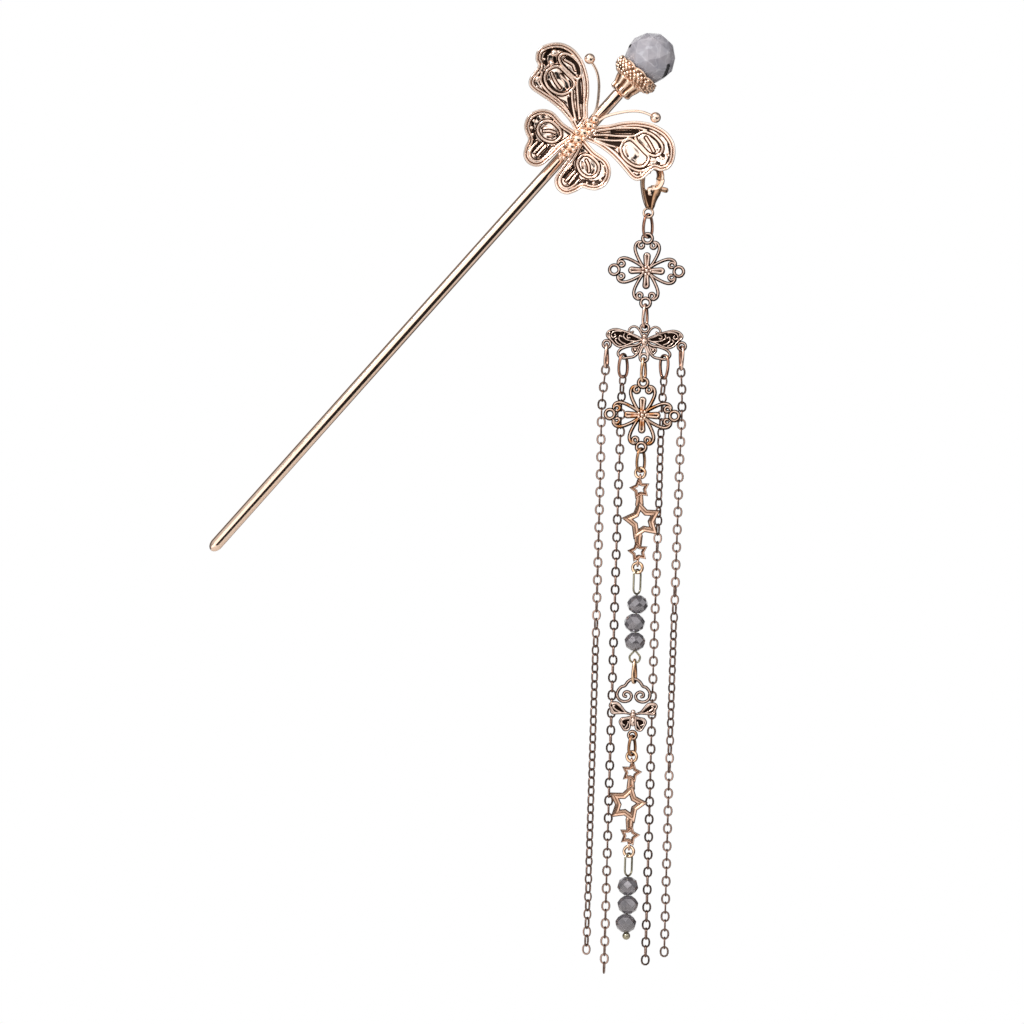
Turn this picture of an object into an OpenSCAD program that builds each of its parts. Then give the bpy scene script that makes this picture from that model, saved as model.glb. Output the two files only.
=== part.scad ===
// Buyao hairpin: a metal hair stick with a cast butterfly, a crystal bead in a crown cap, and a long
// tassel of filigree pieces, star charms, glass beads and four cable chains on a lobster clasp.
// Millimetres. X runs to the right, Y away from the viewer, Z up with the tassel hanging plumb.
// The origin is on the stick's axis, where the hair holds it.

/* [Stick] */
// Diameter of the rod
rod_d = 2.5; // [2.1:0.1:2.9]
// Length of the rod from its tip to the shoulder under the cone
rod_l = 122.5; // [110:0.5:135]
// Length from the tip to the place where the hair holds the rod
hold_l = 52.3; // [40:0.1:58]
// Length of the rounded tip
tip_l = 1.8; // [1.2:0.1:4]
// Rise of the stick above the horizontal while the tassel hangs plumb, in degrees
stick_rise = 50; // [44:1:56]
// Diameter of the peg that the cone, the crown and the crystal are threaded on
peg_d = 1.4; // [1:0.1:1.8]

/* [Head] */
// Length of the fluted cone under the crown
cone_l = 3.1; // [2.4:0.1:4]
// Diameter of the cone where it meets the crown
cone_d = 6; // [5:0.1:6.6]
// Number of flutes round the cone
flutes = 10; // [8:1:12]
// Length of the crown cap
crown_l = 3; // [2.4:0.1:3.6]
// Diameter of the crown cap at its rim
crown_d = 9.4; // [8.6:0.1:10.4]
// Number of petals round the crown
crown_petals = 9; // [7:1:11]
// Diameter of the crystal bead
crystal_d = 10; // [9:0.1:10.6]
// Height of the crystal bead between its two tables
crystal_h = 9.8; // [8.8:0.1:10.2]
// Number of facets in each row round the crystal
crystal_sides = 10; // [8:1:12]

/* [Butterfly] */
// Distance from the shoulder of the rod down to the middle of the butterfly
butterfly_down = 11.1; // [10.5:0.1:13]
// Reach of a forewing to each side of the stick
forewing_w = 17.6; // [16:0.1:19]
// Reach of a forewing towards the head
forewing_h = 11.5; // [10:0.1:12]
// Reach of a hindwing to each side of the stick
hindwing_w = 10.4; // [9:0.1:11.5]
// Reach of a hindwing towards the tip
hindwing_h = 11.6; // [10:0.1:13]
// Thickness of the cast wings
wing_t = 0.9; // [0.7:0.05:1.2]
// Height of the raised rims on the wings
rim_h = 0.5; // [0.2:0.05:0.7]
// How far each wing is dished behind its rim
wing_dish = 0.9; // [0.4:0.05:1.2]
// How far the outer ends of the wings come forward
wing_lift = 1.9; // [1:0.1:2.5]
// Diameter of the largest ball of the body
body_d = 2.6; // [2:0.1:3]
// Diameter of an antenna's wire
antenna_wire = 0.55; // [0.4:0.05:0.8]
// Diameter of the ball that ends an antenna
antenna_ball = 2.3; // [1.6:0.1:2.8]

/* [Clasp] */
// Place of the ring's lowest wire, across the stick from its axis
hang_across = 15.15; // [14.6:0.05:15.6]
// Place of the ring's lowest wire, along the stick below the rod's shoulder
hang_down = 7.7; // [7.2:0.05:8.1]
// Outer diameter of the ring behind the wing
wing_ring_d = 3.8; // [3.6:0.1:4]
// Length of the lobster clasp from the hanging point to the middle of its eye
clasp_l = 8.1; // [7.6:0.1:9]
// Width of the clasp across its hook
clasp_w = 4.7; // [4.5:0.1:5.2]
// Thickness of the clasp
clasp_t = 1.9; // [1.7:0.1:2.4]
// Width of the mouth inside the hook
mouth_w = 2.7; // [2.4:0.1:2.8]
// Thickness of the lever
lever_t = 0.7; // [0.5:0.05:0.8]
// Diameter of the lever's rivet
rivet_d = 0.8; // [0.6:0.05:0.9]

/* [Jump rings] */
// Wire of the jump rings
ring_wire = 0.6; // [0.5:0.05:0.65]
// Outer height of a long jump ring
oval_h = 5.2; // [4.8:0.1:5.6]
// Outer width of a long jump ring
oval_w = 3; // [2.7:0.1:3.3]
// Outer height of the shorter long ring above the lower star charm
short_oval_h = 4.5; // [4.2:0.1:5]
// Outer diameter of a small round jump ring
round_ring_d = 2.6; // [2.5:0.1:3]

/* [Filigree] */
// Thickness of the cast filigree pieces
cast_t = 0.8; // [0.7:0.05:0.9]
// Width of the filigree's wires
cast_wire = 0.52; // [0.42:0.02:0.6]
// Distance from a flower's middle to the middle of each of its four eyes
flower_reach = 6.45; // [6:0.05:7]
// Outer diameter of a flower's eyes
flower_eye_d = 2.6; // [2.4:0.05:2.8]
// Half of the filigree butterfly's span, to the middle of its outer eyes
span_half = 7.5; // [7:0.1:8]
// Distance from the middle of the filigree butterfly's body down to the wire of its inner loops
loop_drop = 3.9; // [3.6:0.05:4.3]
// Outer diameter of the small eyes on the filigree butterfly and the scroll piece
small_eye_d = 2.2; // [2.1:0.05:2.4]
// Distance from the scroll piece's top wire down to the body of its butterfly
scroll_h = 6.95; // [6.4:0.05:7.4]
// Distance from that body down to the middle of the scroll piece's lower eye
scroll_drop = 4.3; // [4:0.05:4.6]

/* [Star charms] */
// Distance from the middle of the large star to the middle of each small star
star_step = 6.3; // [6:0.1:7]
// Outer radius of the large star
star_r = 4.2; // [3.8:0.1:4.4]
// Outer radius of a small star
small_star_r = 2.2; // [2:0.1:2.4]
// Thickness of the star charms
star_t = 1.3; // [1:0.05:1.5]
// Distance from a small star's middle to the middle of the eye beyond it
star_eye_reach = 2.2; // [2:0.05:2.6]
// Outer diameter of the eyes at the ends of a star charm
star_eye_d = 1.7; // [1.6:0.05:2]

/* [Beads] */
// Diameter of a glass bead
bead_d = 4.2; // [3.8:0.1:4.6]
// Length of a glass bead along its hole
bead_l = 3.6; // [3.2:0.1:3.8]
// Number of facets in each row round a glass bead
bead_sides = 8; // [8:1:10]
// Diameter of the hole through a glass bead
bead_hole = 1.1; // [0.9:0.05:1.2]
// Diameter of the wire that the beads are threaded on
pin_wire = 0.42; // [0.36:0.02:0.48]
// Height of the long loop above the upper beads
upper_loop_h = 5.3; // [5:0.1:5.8]
// Height of the long loop above the lower beads
lower_loop_h = 4.9; // [4.6:0.1:5.4]
// Width of the long loops
pin_loop_w = 2.6; // [2.5:0.1:3]
// Diameter of the ball that ends the lower wire
end_ball_d = 1.6; // [1.3:0.1:1.9]

/* [Chains] */
// Width of the cable chains
chain_w = 1.75; // [1.5:0.05:1.8]
// Depth that the inner chains hang behind the middle of the tassel
chain_back = 1.8; // [1.75:0.05:2.2]

/* [Gaps] */
// Clearance between pieces that are threaded or seated on each other
seat_gap = 0.06; // [0.04:0.01:0.1]
// Clearance between two links that hang on each other
hang_gap = 0.12; // [0.1:0.01:0.15]
// Clearance between the clasp and the ring behind the wing, and beside the lever
swing_gap = 0.25; // [0.2:0.01:0.3]

/* [Hidden] */
$fn = 32;
ROSE = "#c9997f";
GOLD = "#c79a62";
STEEL = "#8f8a78";
SMOKE = "#6f6f78";
ICE = "#b9b4c4";

// Along the stick, from the origin: the rod's shoulder and what sits above it.
shoulder = rod_l - hold_l;
cone_top = shoulder + seat_gap + cone_l;
crown_base = cone_top + seat_gap;
crown_top = crown_base + crown_l;
crystal_seat_r = 0.77 * crystal_d / 2;
crystal_at = crown_top + sqrt(pow(crystal_d / 2 + seat_gap, 2) - pow(crystal_seat_r, 2));
peg_top = crystal_at + 0.15 * crystal_h;
butterfly_at = shoulder - butterfly_down;
lean = 90 - stick_rise;

// The hanging point: the middle of the lowest wire of the ring behind the wing.
hang_along = shoulder - hang_down;
hang_x = hang_across * cos(lean) + hang_along * sin(lean);
hang_z = -hang_across * sin(lean) + hang_along * cos(lean);
// Depth of the plane that the tassel hangs in.
hang_y = -0.2;
wing_ring_r = (wing_ring_d - ring_wire) / 2;
wing_ring_z = hang_z + wing_ring_r;
staple_wire = 0.6;
staple_l = 2.6;
staple_z = wing_ring_z + wing_ring_r - ring_wire / 2 - staple_wire / 2 - hang_gap;

// Depths of the butterfly casting: its back lies on the front of the rod.
wing_front = rod_d / 2 + seat_gap + wing_t;

// Turn of each hanging ring from facing the viewer, so that neighbours cross.
turned = 50;
steep = 64;
edge_on = 74;
half_turned = -16;

// Distance between the middles of two wires that hang on each other.
function hang_step(a, b) = (a + b) / 2 + hang_gap;
// The same for a long ring and a casting's wire: the casting's corners clear the round end of the ring.
function plate_step(turn) = let (
    inner = oval_w / 2 - ring_wire - seat_gap,
    corner = cast_t / 2 / sin(turn))
    (oval_w - ring_wire + cast_wire) / 2 - sqrt(inner * inner - corner * corner);

// Heights of the tassel's pieces, each worked out from the one above it.
clasp_eye_r = 0.92;
clasp_eye_wire = 0.46;
clasp_eye_z = hang_z - clasp_l;
ring_clasp_top = clasp_eye_z - clasp_eye_r + hang_step(clasp_eye_wire, ring_wire);
ring_clasp_low = ring_clasp_top - (oval_h - ring_wire);
flower_eye_r = (flower_eye_d - cast_wire) / 2;
flower_upper_z = ring_clasp_low + plate_step(turned) - flower_eye_r - flower_reach;
ring_flower_upper_top = flower_upper_z - flower_reach - flower_eye_r + plate_step(edge_on);
ring_flower_upper_low = ring_flower_upper_top - (oval_h - ring_wire);
small_eye_r = (small_eye_d - cast_wire) / 2;
moth_top_eye = 2.25;
moth_low_eye = 3.7;
moth_z = ring_flower_upper_low + plate_step(edge_on) - small_eye_r - moth_top_eye;
ring_flower_lower_top = moth_z - moth_low_eye - small_eye_r + plate_step(edge_on);
ring_flower_lower_low = ring_flower_lower_top - (oval_h - ring_wire);
flower_lower_z = ring_flower_lower_low + plate_step(edge_on) - flower_eye_r - flower_reach;
ring_star_upper_top = flower_lower_z - flower_reach - flower_eye_r + plate_step(turned);
ring_star_upper_low = ring_star_upper_top - (oval_h - ring_wire);
round_ring_r = (round_ring_d - ring_wire) / 2;
round_upper_z = ring_star_upper_low + hang_step(ring_wire, ring_wire) - round_ring_r;
star_eye_wire = 0.45;
star_eye_r = (star_eye_d - star_eye_wire) / 2;
star_upper_eye_z = round_upper_z - round_ring_r + hang_step(ring_wire, star_eye_wire) - star_eye_r;
star_upper_z = star_upper_eye_z - star_eye_reach - star_step;
star_upper_low = star_upper_z - star_step - star_eye_reach - star_eye_r;
ring_bead_upper_z = star_upper_low + hang_step(star_eye_wire, ring_wire) - round_ring_r;
eye_upper_top = ring_bead_upper_z - round_ring_r + hang_step(ring_wire, pin_wire);
beads_upper_top = eye_upper_top + pin_wire / 2 - upper_loop_h;
bead_step = bead_l + hang_gap;
eye_low_loop_r = 1.1;
eye_upper_low_z = beads_upper_top - 3 * bead_step - eye_low_loop_r - pin_wire / 2;
ring_scroll_top = eye_upper_low_z - eye_low_loop_r + hang_step(pin_wire, ring_wire);
ring_scroll_low = ring_scroll_top - (oval_h - ring_wire);
scroll_z = ring_scroll_low + plate_step(edge_on) - scroll_h;
ring_star_lower_top = scroll_z - scroll_drop - small_eye_r + plate_step(steep);
ring_star_lower_low = ring_star_lower_top - (short_oval_h - ring_wire);
round_lower_z = ring_star_lower_low + hang_step(ring_wire, ring_wire) - round_ring_r;
star_lower_eye_z = round_lower_z - round_ring_r + hang_step(ring_wire, star_eye_wire) - star_eye_r;
star_lower_z = star_lower_eye_z - star_eye_reach - star_step;
star_lower_low = star_lower_z - star_step - star_eye_reach - star_eye_r;
ring_bead_lower_z = star_lower_low + hang_step(star_eye_wire, ring_wire) - round_ring_r;
eye_lower_top = ring_bead_lower_z - round_ring_r + hang_step(ring_wire, pin_wire);
beads_lower_top = eye_lower_top + pin_wire / 2 - lower_loop_h;
end_ball_z = beads_lower_top - 3 * bead_step - end_ball_d / 2 + hang_gap;
// Balls of the bodies of the filigree butterfly and of the scroll piece's small one, and their step down.
moth_body_d = 1.5;
moth_tail_d = 1.2;
moth_tail_drop = 1.2;
scroll_body_d = 1.4;
scroll_tail_d = 1.1;
scroll_tail_drop = 1.3;
outer_eye_drop = 1.2;
outer_eye_r = 0.75;
loop_x = 4.1;
outer_ring_top = moth_z - outer_eye_drop - outer_eye_r + plate_step(edge_on);
inner_ring_top = moth_z - loop_drop + plate_step(turned);

// Outline of the right forewing and hindwing, as shares of the wing's two reaches [across, along].
FOREWING = [
    [0.06, 0.24], [0.16, 0.43], [0.25, 0.62], [0.36, 0.79], [0.49, 0.92], [0.60, 0.98],
    [0.72, 1.00], [0.84, 0.95], [0.93, 0.84], [0.99, 0.69], [1.00, 0.54], [0.95, 0.42],
    [0.885, 0.37], [0.87, 0.24], [0.86, 0.11], [0.82, 0.02], [0.75, -0.01], [0.65, 0.01],
    [0.51, 0.04], [0.37, 0.05], [0.20, 0.02], [0.06, -0.03]
];
HINDWING = [
    [0.08, -0.05], [0.40, -0.07], [0.68, -0.05], [0.86, -0.12], [0.97, -0.25], [1.00, -0.41],
    [0.93, -0.56], [0.81, -0.64], [0.70, -0.69], [0.65, -0.82], [0.56, -0.95], [0.41, -1.00],
    [0.26, -0.96], [0.17, -0.86], [0.13, -0.66], [0.11, -0.43], [0.07, -0.22]
];
// Middle of each wing's surface, in the same shares.
FORE_MIDDLE = [0.56, 0.50];
HIND_MIDDLE = [0.53, -0.42];
// Relief of a wing from its middle out to its edge: [share of the way out, share of the rim's height].
RELIEF = [
    [0.00, 0.5], [0.30, 0.6], [0.42, 0.1], [0.52, 0.1], [0.62, 0.9], [0.70, 0.1],
    [0.80, 0.0], [0.88, 1.0], [0.96, 1.0], [1.00, 0.5]
];
// Balls of the butterfly's body down the stick: [share of the wings' reach, share of the largest ball].
BODY = [[0.34, 0.75], [0.2, 0.85], [0.04, 0.9], [-0.12, 1], [-0.28, 0.9], [-0.42, 0.75], [-0.54, 0.55]];
// Course of the right antenna, in shares of the forewing's two reaches.
ANTENNA = [[0.03, 0.30], [0.07, 0.50], [0.15, 0.69], [0.25, 0.87], [0.36, 0.99], [0.50, 1.06]];

// Half of a flower's petal as shares of the flower's reach [aside, outwards], and its scroll.
PETAL = [
    [0.11, 0.12], [0.18, 0.22], [0.27, 0.38], [0.345, 0.55], [0.375, 0.69], [0.35, 0.81],
    [0.27, 0.88], [0.18, 0.885]
];
SCROLL_AT = [0.18, 0.775];
SCROLL_R = [0.105, 0.06];

// Course of one forewing, hindwing and antenna of the filigree butterfly, as shares of its half span.
MOTH_FORE = [
    [0.06, 0.03], [0.30, 0.15], [0.55, 0.235], [0.76, 0.28], [0.93, 0.24], [1.03, 0.14],
    [1.02, 0.03], [0.90, -0.08], [0.80, -0.19], [0.66, -0.25], [0.50, -0.22], [0.30, -0.13], [0.06, -0.04]
];
MOTH_LOOP = [
    [0.08, -0.08], [0.20, -0.16], [0.42, -0.20], [0.60, -0.27], [0.69, -0.37], [0.66, -0.47],
    [0.55, -0.52], [0.40, -0.50], [0.27, -0.47], [0.16, -0.36], [0.08, -0.2]
];
MOTH_ANTENNA = [[0.05, 0.10], [0.14, 0.24], [0.25, 0.33], [0.36, 0.31], [0.42, 0.23], [0.38, 0.16], [0.31, 0.19]];
MOTH_VINE = [[0.16, 0.02], [0.34, 0.10], [0.50, 0.02], [0.62, 0.11], [0.76, 0.04], [0.80, 0.16]];

// Right half of the scroll piece: its cloud, and its small butterfly's wings, in shares of its height.
CLOUD = [
    [0.00, 1.00], [0.09, 0.98], [0.18, 0.91], [0.26, 0.80], [0.36, 0.76], [0.45, 0.65], [0.475, 0.52],
    [0.42, 0.41], [0.32, 0.35], [0.20, 0.35], [0.10, 0.40], [0.06, 0.50], [0.10, 0.59], [0.19, 0.63],
    [0.27, 0.59], [0.28, 0.51], [0.22, 0.49]
];
SMALL_FORE = [
    [0.05, 0.01], [0.20, 0.08], [0.30, 0.20], [0.40, 0.31], [0.53, 0.35], [0.66, 0.32], [0.71, 0.22],
    [0.67, 0.12], [0.66, 0.02], [0.58, -0.04], [0.42, -0.03], [0.25, -0.02], [0.05, -0.04]
];
SMALL_HIND = [
    [0.05, -0.06], [0.20, -0.09], [0.34, -0.12], [0.41, -0.24], [0.35, -0.38], [0.26, -0.50],
    [0.14, -0.50], [0.06, -0.42], [0.04, -0.2]
];

// Rows of facets of a cut bead: [share of its radius, share of its half height].
CUT = [[0.38, 1], [0.80, 0.66], [1, 0.2], [1, -0.2], [0.80, -0.66], [0.38, -1]];

// Routes of the four chains: [across from the tassel's middle, depth, height from the lowest wire of its ring].
ROUTES = [
    [[-7.6, 0.1, -0.47], [-7.9, 0.9, -3.97], [-8.1, 1.6, -7.97], [-8.1, 1.5, -11.97], [-8, 0.9, -20.97],
        [-7.9, 0.7, -58.97], [-7.9, 0.6, -88.97], [-7.9, 0.6, -117.97]],
    [[-4.1, 0.3, -0.52], [-4.2, 0.9, -2.42], [-4.2, 1.8, -5.02], [-4.2, 1.8, -11.02], [-4.3, 1.8, -27.02],
        [-4.3, 1.8, -57.02], [-4.3, 1.8, -87.02], [-4.2, 1.8, -121.02]],
    [[4.1, 0.3, -0.52], [4, 0.9, -2.42], [4, 1.8, -5.02], [3.9, 1.8, -11.02], [3.9, 1.8, -27.02],
        [3.8, 1.8, -57.02], [3.9, 1.8, -87.02], [4, 1.8, -119.02]],
    [[7.5, 0.1, -0.47], [7.8, 0.9, -3.97], [8, 1.6, -7.97], [8, 1.5, -11.97], [7.8, 0.9, -20.97],
        [7.6, 0.7, -58.97], [7.6, 0.6, -88.97], [7.7, 0.6, -117.97]]
];
CHAIN_SIDES = 8;
CHAIN_STEPS = 19;

// Curves through chosen points.
function bend(a, b, c, d, t) =
    0.5 * (2 * b + (c - a) * t + (2 * a - 5 * b + 4 * c - d) * t * t + (3 * b - a - 3 * c + d) * t * t * t);
function loop_curve(p, steps) = let (n = len(p))
    [for (i = [0 : n - 1], k = [0 : steps - 1])
        bend(p[(i + n - 1) % n], p[i], p[(i + 1) % n], p[(i + 2) % n], k / steps)];
function open_point(p, i, t) = let (n = len(p))
    bend(p[max(i - 1, 0)], p[i], p[min(i + 1, n - 1)], p[min(i + 2, n - 1)], t);
function open_curve(p, steps) = let (n = len(p))
    concat([for (i = [0 : n - 2], k = [0 : steps - 1]) open_point(p, i, k / steps)], [p[n - 1]]);
function spread(shares, size) = [for (s = shares) [s.x * size.x, s.y * size.y]];
function unit(v) = v / norm(v);

// A flat wire of width w along a path, as one outline.
function aside(p, i) = let (d = unit(p[min(i + 1, len(p) - 1)] - p[max(i - 1, 0)])) [-d.y, d.x];
function ribbon(p, w) = concat(
    [for (i = [0 : len(p) - 1]) p[i] + aside(p, i) * w / 2],
    [for (i = [len(p) - 1 : -1 : 0]) p[i] - aside(p, i) * w / 2]);

module stroke(p, w) {
    polygon(ribbon(p, w));
    for (end = [p[0], p[len(p) - 1]]) translate(end) circle(d = w, $fn = 12);
}

module flat_ring(outer_d, wire) {
    difference() {
        circle(d = outer_d, $fn = 28);
        circle(d = outer_d - 2 * wire, $fn = 24);
    }
}

// A flat drawing in X and Z made a cast plate of thickness t; corners and slits are closed a little.
module cast_plate(t) {
    close = 0.08;
    rotate([90, 0, 0]) linear_extrude(height = t, center = true)
        offset(delta = -close) offset(delta = close) children();
}

module both_sides() {
    children();
    mirror([1, 0, 0]) children();
}

// Places a thing in the stick's own frame: Z runs up the stick, X across it to the lower right.
module on_stick(along) {
    rotate([0, lean, 0]) translate([0, 0, along]) children();
}

module tassel_at(z, turn = 0) {
    translate([hang_x, hang_y, z]) rotate([0, 0, turn]) children();
}

// A round ring of wire facing the viewer.
module round_ring(r, wire) {
    rotate([90, 0, 0]) rotate_extrude() translate([r, 0]) circle(d = wire);
}

// A long ring of wire facing the viewer: two half rounds and two straight sides.
module long_ring(w, h, wire) {
    r = (w - wire) / 2;
    side = h - w;
    for (turn = [0, 180]) rotate([0, turn, 0]) {
        translate([0, 0, side / 2]) rotate([90, 0, 0])
            rotate_extrude(angle = 180) translate([r, 0]) circle(d = wire);
        translate([r, 0, -side / 2]) cylinder(d = wire, h = side);
    }
}

// Long ring whose top wire's middle is at z.
module hung_ring(top, h, turn) {
    tassel_at(top - (h - ring_wire) / 2, turn) long_ring(oval_w, h, ring_wire);
}

module stick() {
    r = rod_d / 2;
    tip = [for (a = [0 : 9 : 90]) [r * sin(a), -hold_l + tip_l * (1 - cos(a))]];
    color(ROSE) on_stick(0) rotate_extrude()
        polygon(concat(tip, [[r, shoulder], [peg_d / 2, shoulder], [peg_d / 2, peg_top], [0, peg_top]]));
}

module peg_bore() {
    cylinder(d = peg_d + 2 * seat_gap, h = peg_top + seat_gap);
}

module cup_cone() {
    base = shoulder + seat_gap;
    foot_r = rod_d / 2 + 0.1;
    tilt = atan((cone_d / 2 - foot_r) / cone_l);
    color(GOLD) difference() {
        on_stick(0) rotate_extrude() polygon([
            [0, base], [foot_r, base], [0.36 * cone_d, base + 0.35 * cone_l],
            [cone_d / 2, cone_top - 0.15 * cone_l], [0.46 * cone_d, cone_top], [0, cone_top]]);
        on_stick(0) peg_bore();
        for (i = [0 : flutes - 1]) on_stick(base) rotate([0, 0, i * 360 / flutes])
            translate([foot_r + 0.12 * cone_d / 2, 0, 0]) rotate([0, tilt, 0])
                cylinder(d = 0.15 * cone_d, h = 2 * cone_l);
    }
}

module crown_cap() {
    swell = 0.5 * crown_d - 0.25;
    crystal_reach = max([for (row = CUT) norm([row.x * crystal_d, row.y * crystal_h]) / 2]);
    color(GOLD) difference() {
        on_stick(0) rotate_extrude() polygon([
            [0, crown_base], [0.46 * cone_d, crown_base], [0.40 * crown_d, crown_base + 0.10 * crown_l],
            [swell, crown_base + 0.35 * crown_l], [0.5 * crown_d, crown_base + 0.6 * crown_l],
            [0.5 * crown_d, crown_top], [0, crown_top]]);
        on_stick(0) peg_bore();
        on_stick(crystal_at) sphere(r = crystal_reach + seat_gap);
        for (i = [0 : crown_petals - 1]) on_stick(0) rotate([0, 0, (i + 0.5) * 360 / crown_petals]) {
            translate([0.3 * crown_d, 0, crown_top + 0.05]) rotate([0, 90, 0]) cylinder(r = 0.6, h = crown_d);
            translate([swell + 0.4, 0, crown_base - 0.5]) cylinder(r = 0.5, h = crown_l + 1);
        }
    }
}

// A cut bead with its hole's axis along Z: rows of facets, each row turned by half a facet.
module cut_bead(d, h, sides) {
    rows = len(CUT);
    points = [for (k = [0 : rows - 1], i = [0 : sides - 1])
        let (a = (i + (k % 2) / 2) * 360 / sides, r = CUT[k][0] * d / 2)
            [r * cos(a), r * sin(a), CUT[k][1] * h / 2]];
    bands = [for (k = [0 : rows - 2], i = [0 : sides - 1])
        let (j = (i + 1) % sides, a = k * sides, b = a + sides, even = k % 2 == 0)
            each (even
                ? [[a + i, a + j, b + i], [a + j, b + j, b + i]]
                : [[a + i, b + j, b + i], [a + i, a + j, b + j]])];
    top = [[for (i = [sides - 1 : -1 : 0]) i]];
    bottom = [[for (i = [0 : sides - 1]) (rows - 1) * sides + i]];
    polyhedron(points = points, faces = concat(bands, top, bottom));
}

module crystal_bead() {
    color(ICE) difference() {
        on_stick(crystal_at) cut_bead(crystal_d, crystal_h, crystal_sides);
        on_stick(0) peg_bore();
    }
}

// Relief of a wing at share s of the way out, between the rows of the table.
function relief(s, k = 0) =
    s <= RELIEF[k + 1][0] || k + 2 >= len(RELIEF)
        ? RELIEF[k][1] + (RELIEF[k + 1][1] - RELIEF[k][1]) * (s - RELIEF[k][0]) / (RELIEF[k + 1][0] - RELIEF[k][0])
        : relief(s, k + 1);

// A cast wing: rings of points from its middle out to its outline, front and back.
module wing(shares, middle, reach) {
    edge = loop_curve(spread(shares, reach), 2);
    hub = [middle.x * reach.x, middle.y * reach.y];
    n = len(edge);
    front = [for (row = RELIEF) if (row[0] > 0) row[0]];
    back = [0.92, 0.5];
    function depth(p, s) = -wing_front - wing_lift * abs(p.x) / forewing_w + wing_dish * (1 - s * s);
    function at(i, s, y) = let (p = hub + (edge[i] - hub) * s) [p.x, depth(p, s) + y, p.y];
    points = concat(
        [at(0, 0, -rim_h * relief(0))],
        [for (s = front, i = [0 : n - 1]) at(i, s, -rim_h * relief(s))],
        [for (s = back, i = [0 : n - 1]) at(i, s, wing_t)],
        [at(0, 0, wing_t)]);
    rings = len(front) + len(back);
    last = len(points) - 1;
    quads = [for (k = [0 : rings - 2], i = [0 : n - 1])
        let (j = (i + 1) % n, a = 1 + k * n, b = a + n) each [[a + i, b + j, a + j], [a + i, b + i, b + j]]];
    fans = [for (i = [0 : n - 1]) let (j = (i + 1) % n, b = 1 + (rings - 1) * n)
        each [[0, 1 + i, 1 + j], [last, b + j, b + i]]];
    polyhedron(points = points, faces = concat(quads, fans));
}

module butterfly_antenna() {
    course = open_curve(spread(ANTENNA, [forewing_w, forewing_h]), 2);
    n = len(course);
    function place(i) = [course[i].x, -wing_front - wing_lift * 0.5 * i / (n - 1), course[i].y];
    for (i = [0 : n - 2]) hull() {
        translate(place(i)) sphere(d = antenna_wire, $fn = 8);
        translate(place(i + 1)) sphere(d = antenna_wire, $fn = 8);
    }
    translate(place(n - 1)) sphere(d = antenna_ball, $fn = 14);
}

// The bar behind the right forewing that the ring hangs on, with a post at each end.
module staple() {
    half = staple_l / 2;
    deep = wing_front + 0.5 * wing_lift;
    translate([hang_x, 0, staple_z]) {
        for (x = [-half, half]) translate([x, hang_y, 0]) rotate([90, 0, 0])
            cylinder(d = staple_wire, h = deep + hang_y - 0.5 * wing_t, $fn = 10);
        translate([-half, hang_y, 0]) rotate([0, 90, 0]) cylinder(d = staple_wire, h = 2 * half, $fn = 10);
    }
}

module butterfly() {
    color(ROSE) {
        on_stick(butterfly_at) {
            both_sides() {
                wing(FOREWING, FORE_MIDDLE, [forewing_w, forewing_h]);
                wing(HINDWING, HIND_MIDDLE, [hindwing_w, hindwing_h]);
                butterfly_antenna();
            }
            difference() {
                for (b = BODY) translate([0, -wing_front, b[0] * forewing_h]) sphere(d = b[1] * body_d, $fn = 14);
                translate([0, 0, -hindwing_h]) cylinder(d = rod_d + 2 * seat_gap, h = hindwing_h + forewing_h);
            }
        }
        staple();
    }
}

module wing_ring() {
    color(GOLD) translate([hang_x, hang_y, wing_ring_z]) rotate([0, 0, 90]) round_ring(wing_ring_r, ring_wire);
}

// Drawing frame of the clasp: the middle of the ring's wire is at zero, the eye hangs below it.
mouth_r = mouth_w / 2;
mouth_top = ring_wire / 2 + swing_gap;
mouth_z = mouth_top - mouth_r;
mouth_low_z = mouth_z - 0.85;
pivot_z = -0.6 * clasp_l;
// Upper outer corner of the lever, and the radius that it sweeps past the end of the hook.
lever_corner = [0.95 * clasp_w / 2, mouth_low_z + 0.15];
sweep_r = norm(lever_corner - [0, pivot_z]) + swing_gap / 2;

module mouth() {
    translate([0, mouth_z]) circle(r = mouth_r);
    translate([0, mouth_low_z]) circle(r = mouth_r);
    translate([-mouth_r, mouth_low_z]) square([mouth_w, mouth_z - mouth_low_z]);
}

module clasp_body() {
    hook_r = clasp_w / 2;
    eye_top = clasp_l - clasp_eye_r;
    waist = 0.9;
    cheek = (clasp_t - lever_t - 2 * 0.15) / 2;
    outline = concat(
        [for (a = [-20 : 20 : 200]) [hook_r * cos(a), mouth_z + hook_r * sin(a)]],
        [[-0.8 * hook_r, 0.62 * pivot_z], [-0.62 * hook_r, pivot_z], [-waist, -eye_top], [waist, -eye_top],
            [0.72 * hook_r, pivot_z], [0.95 * hook_r, 0.62 * pivot_z]]);
    color(ROSE) translate([hang_x, hang_y, hang_z]) {
        difference() {
            rotate([90, 0, 0]) linear_extrude(height = clasp_t, center = true) difference() {
                polygon(outline);
                mouth();
                polygon(concat([[0, 0.62 * pivot_z], [clasp_w, 0.62 * pivot_z]],
                    [for (a = [30 : 6 : 90]) [0, pivot_z] + sweep_r * [cos(a), sin(a)]]));
            }
            translate([-0.62 * hook_r, -(clasp_t / 2 - cheek), 1.3 * pivot_z])
                cube([clasp_w, clasp_t - 2 * cheek, -1.3 * pivot_z + mouth_low_z + 0.3]);
        }
        translate([0, clasp_t / 2, pivot_z]) rotate([90, 0, 0]) cylinder(d = rivet_d, h = clasp_t);
        translate([0, 0, -clasp_l]) round_ring(clasp_eye_r, clasp_eye_wire);
    }
}

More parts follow.
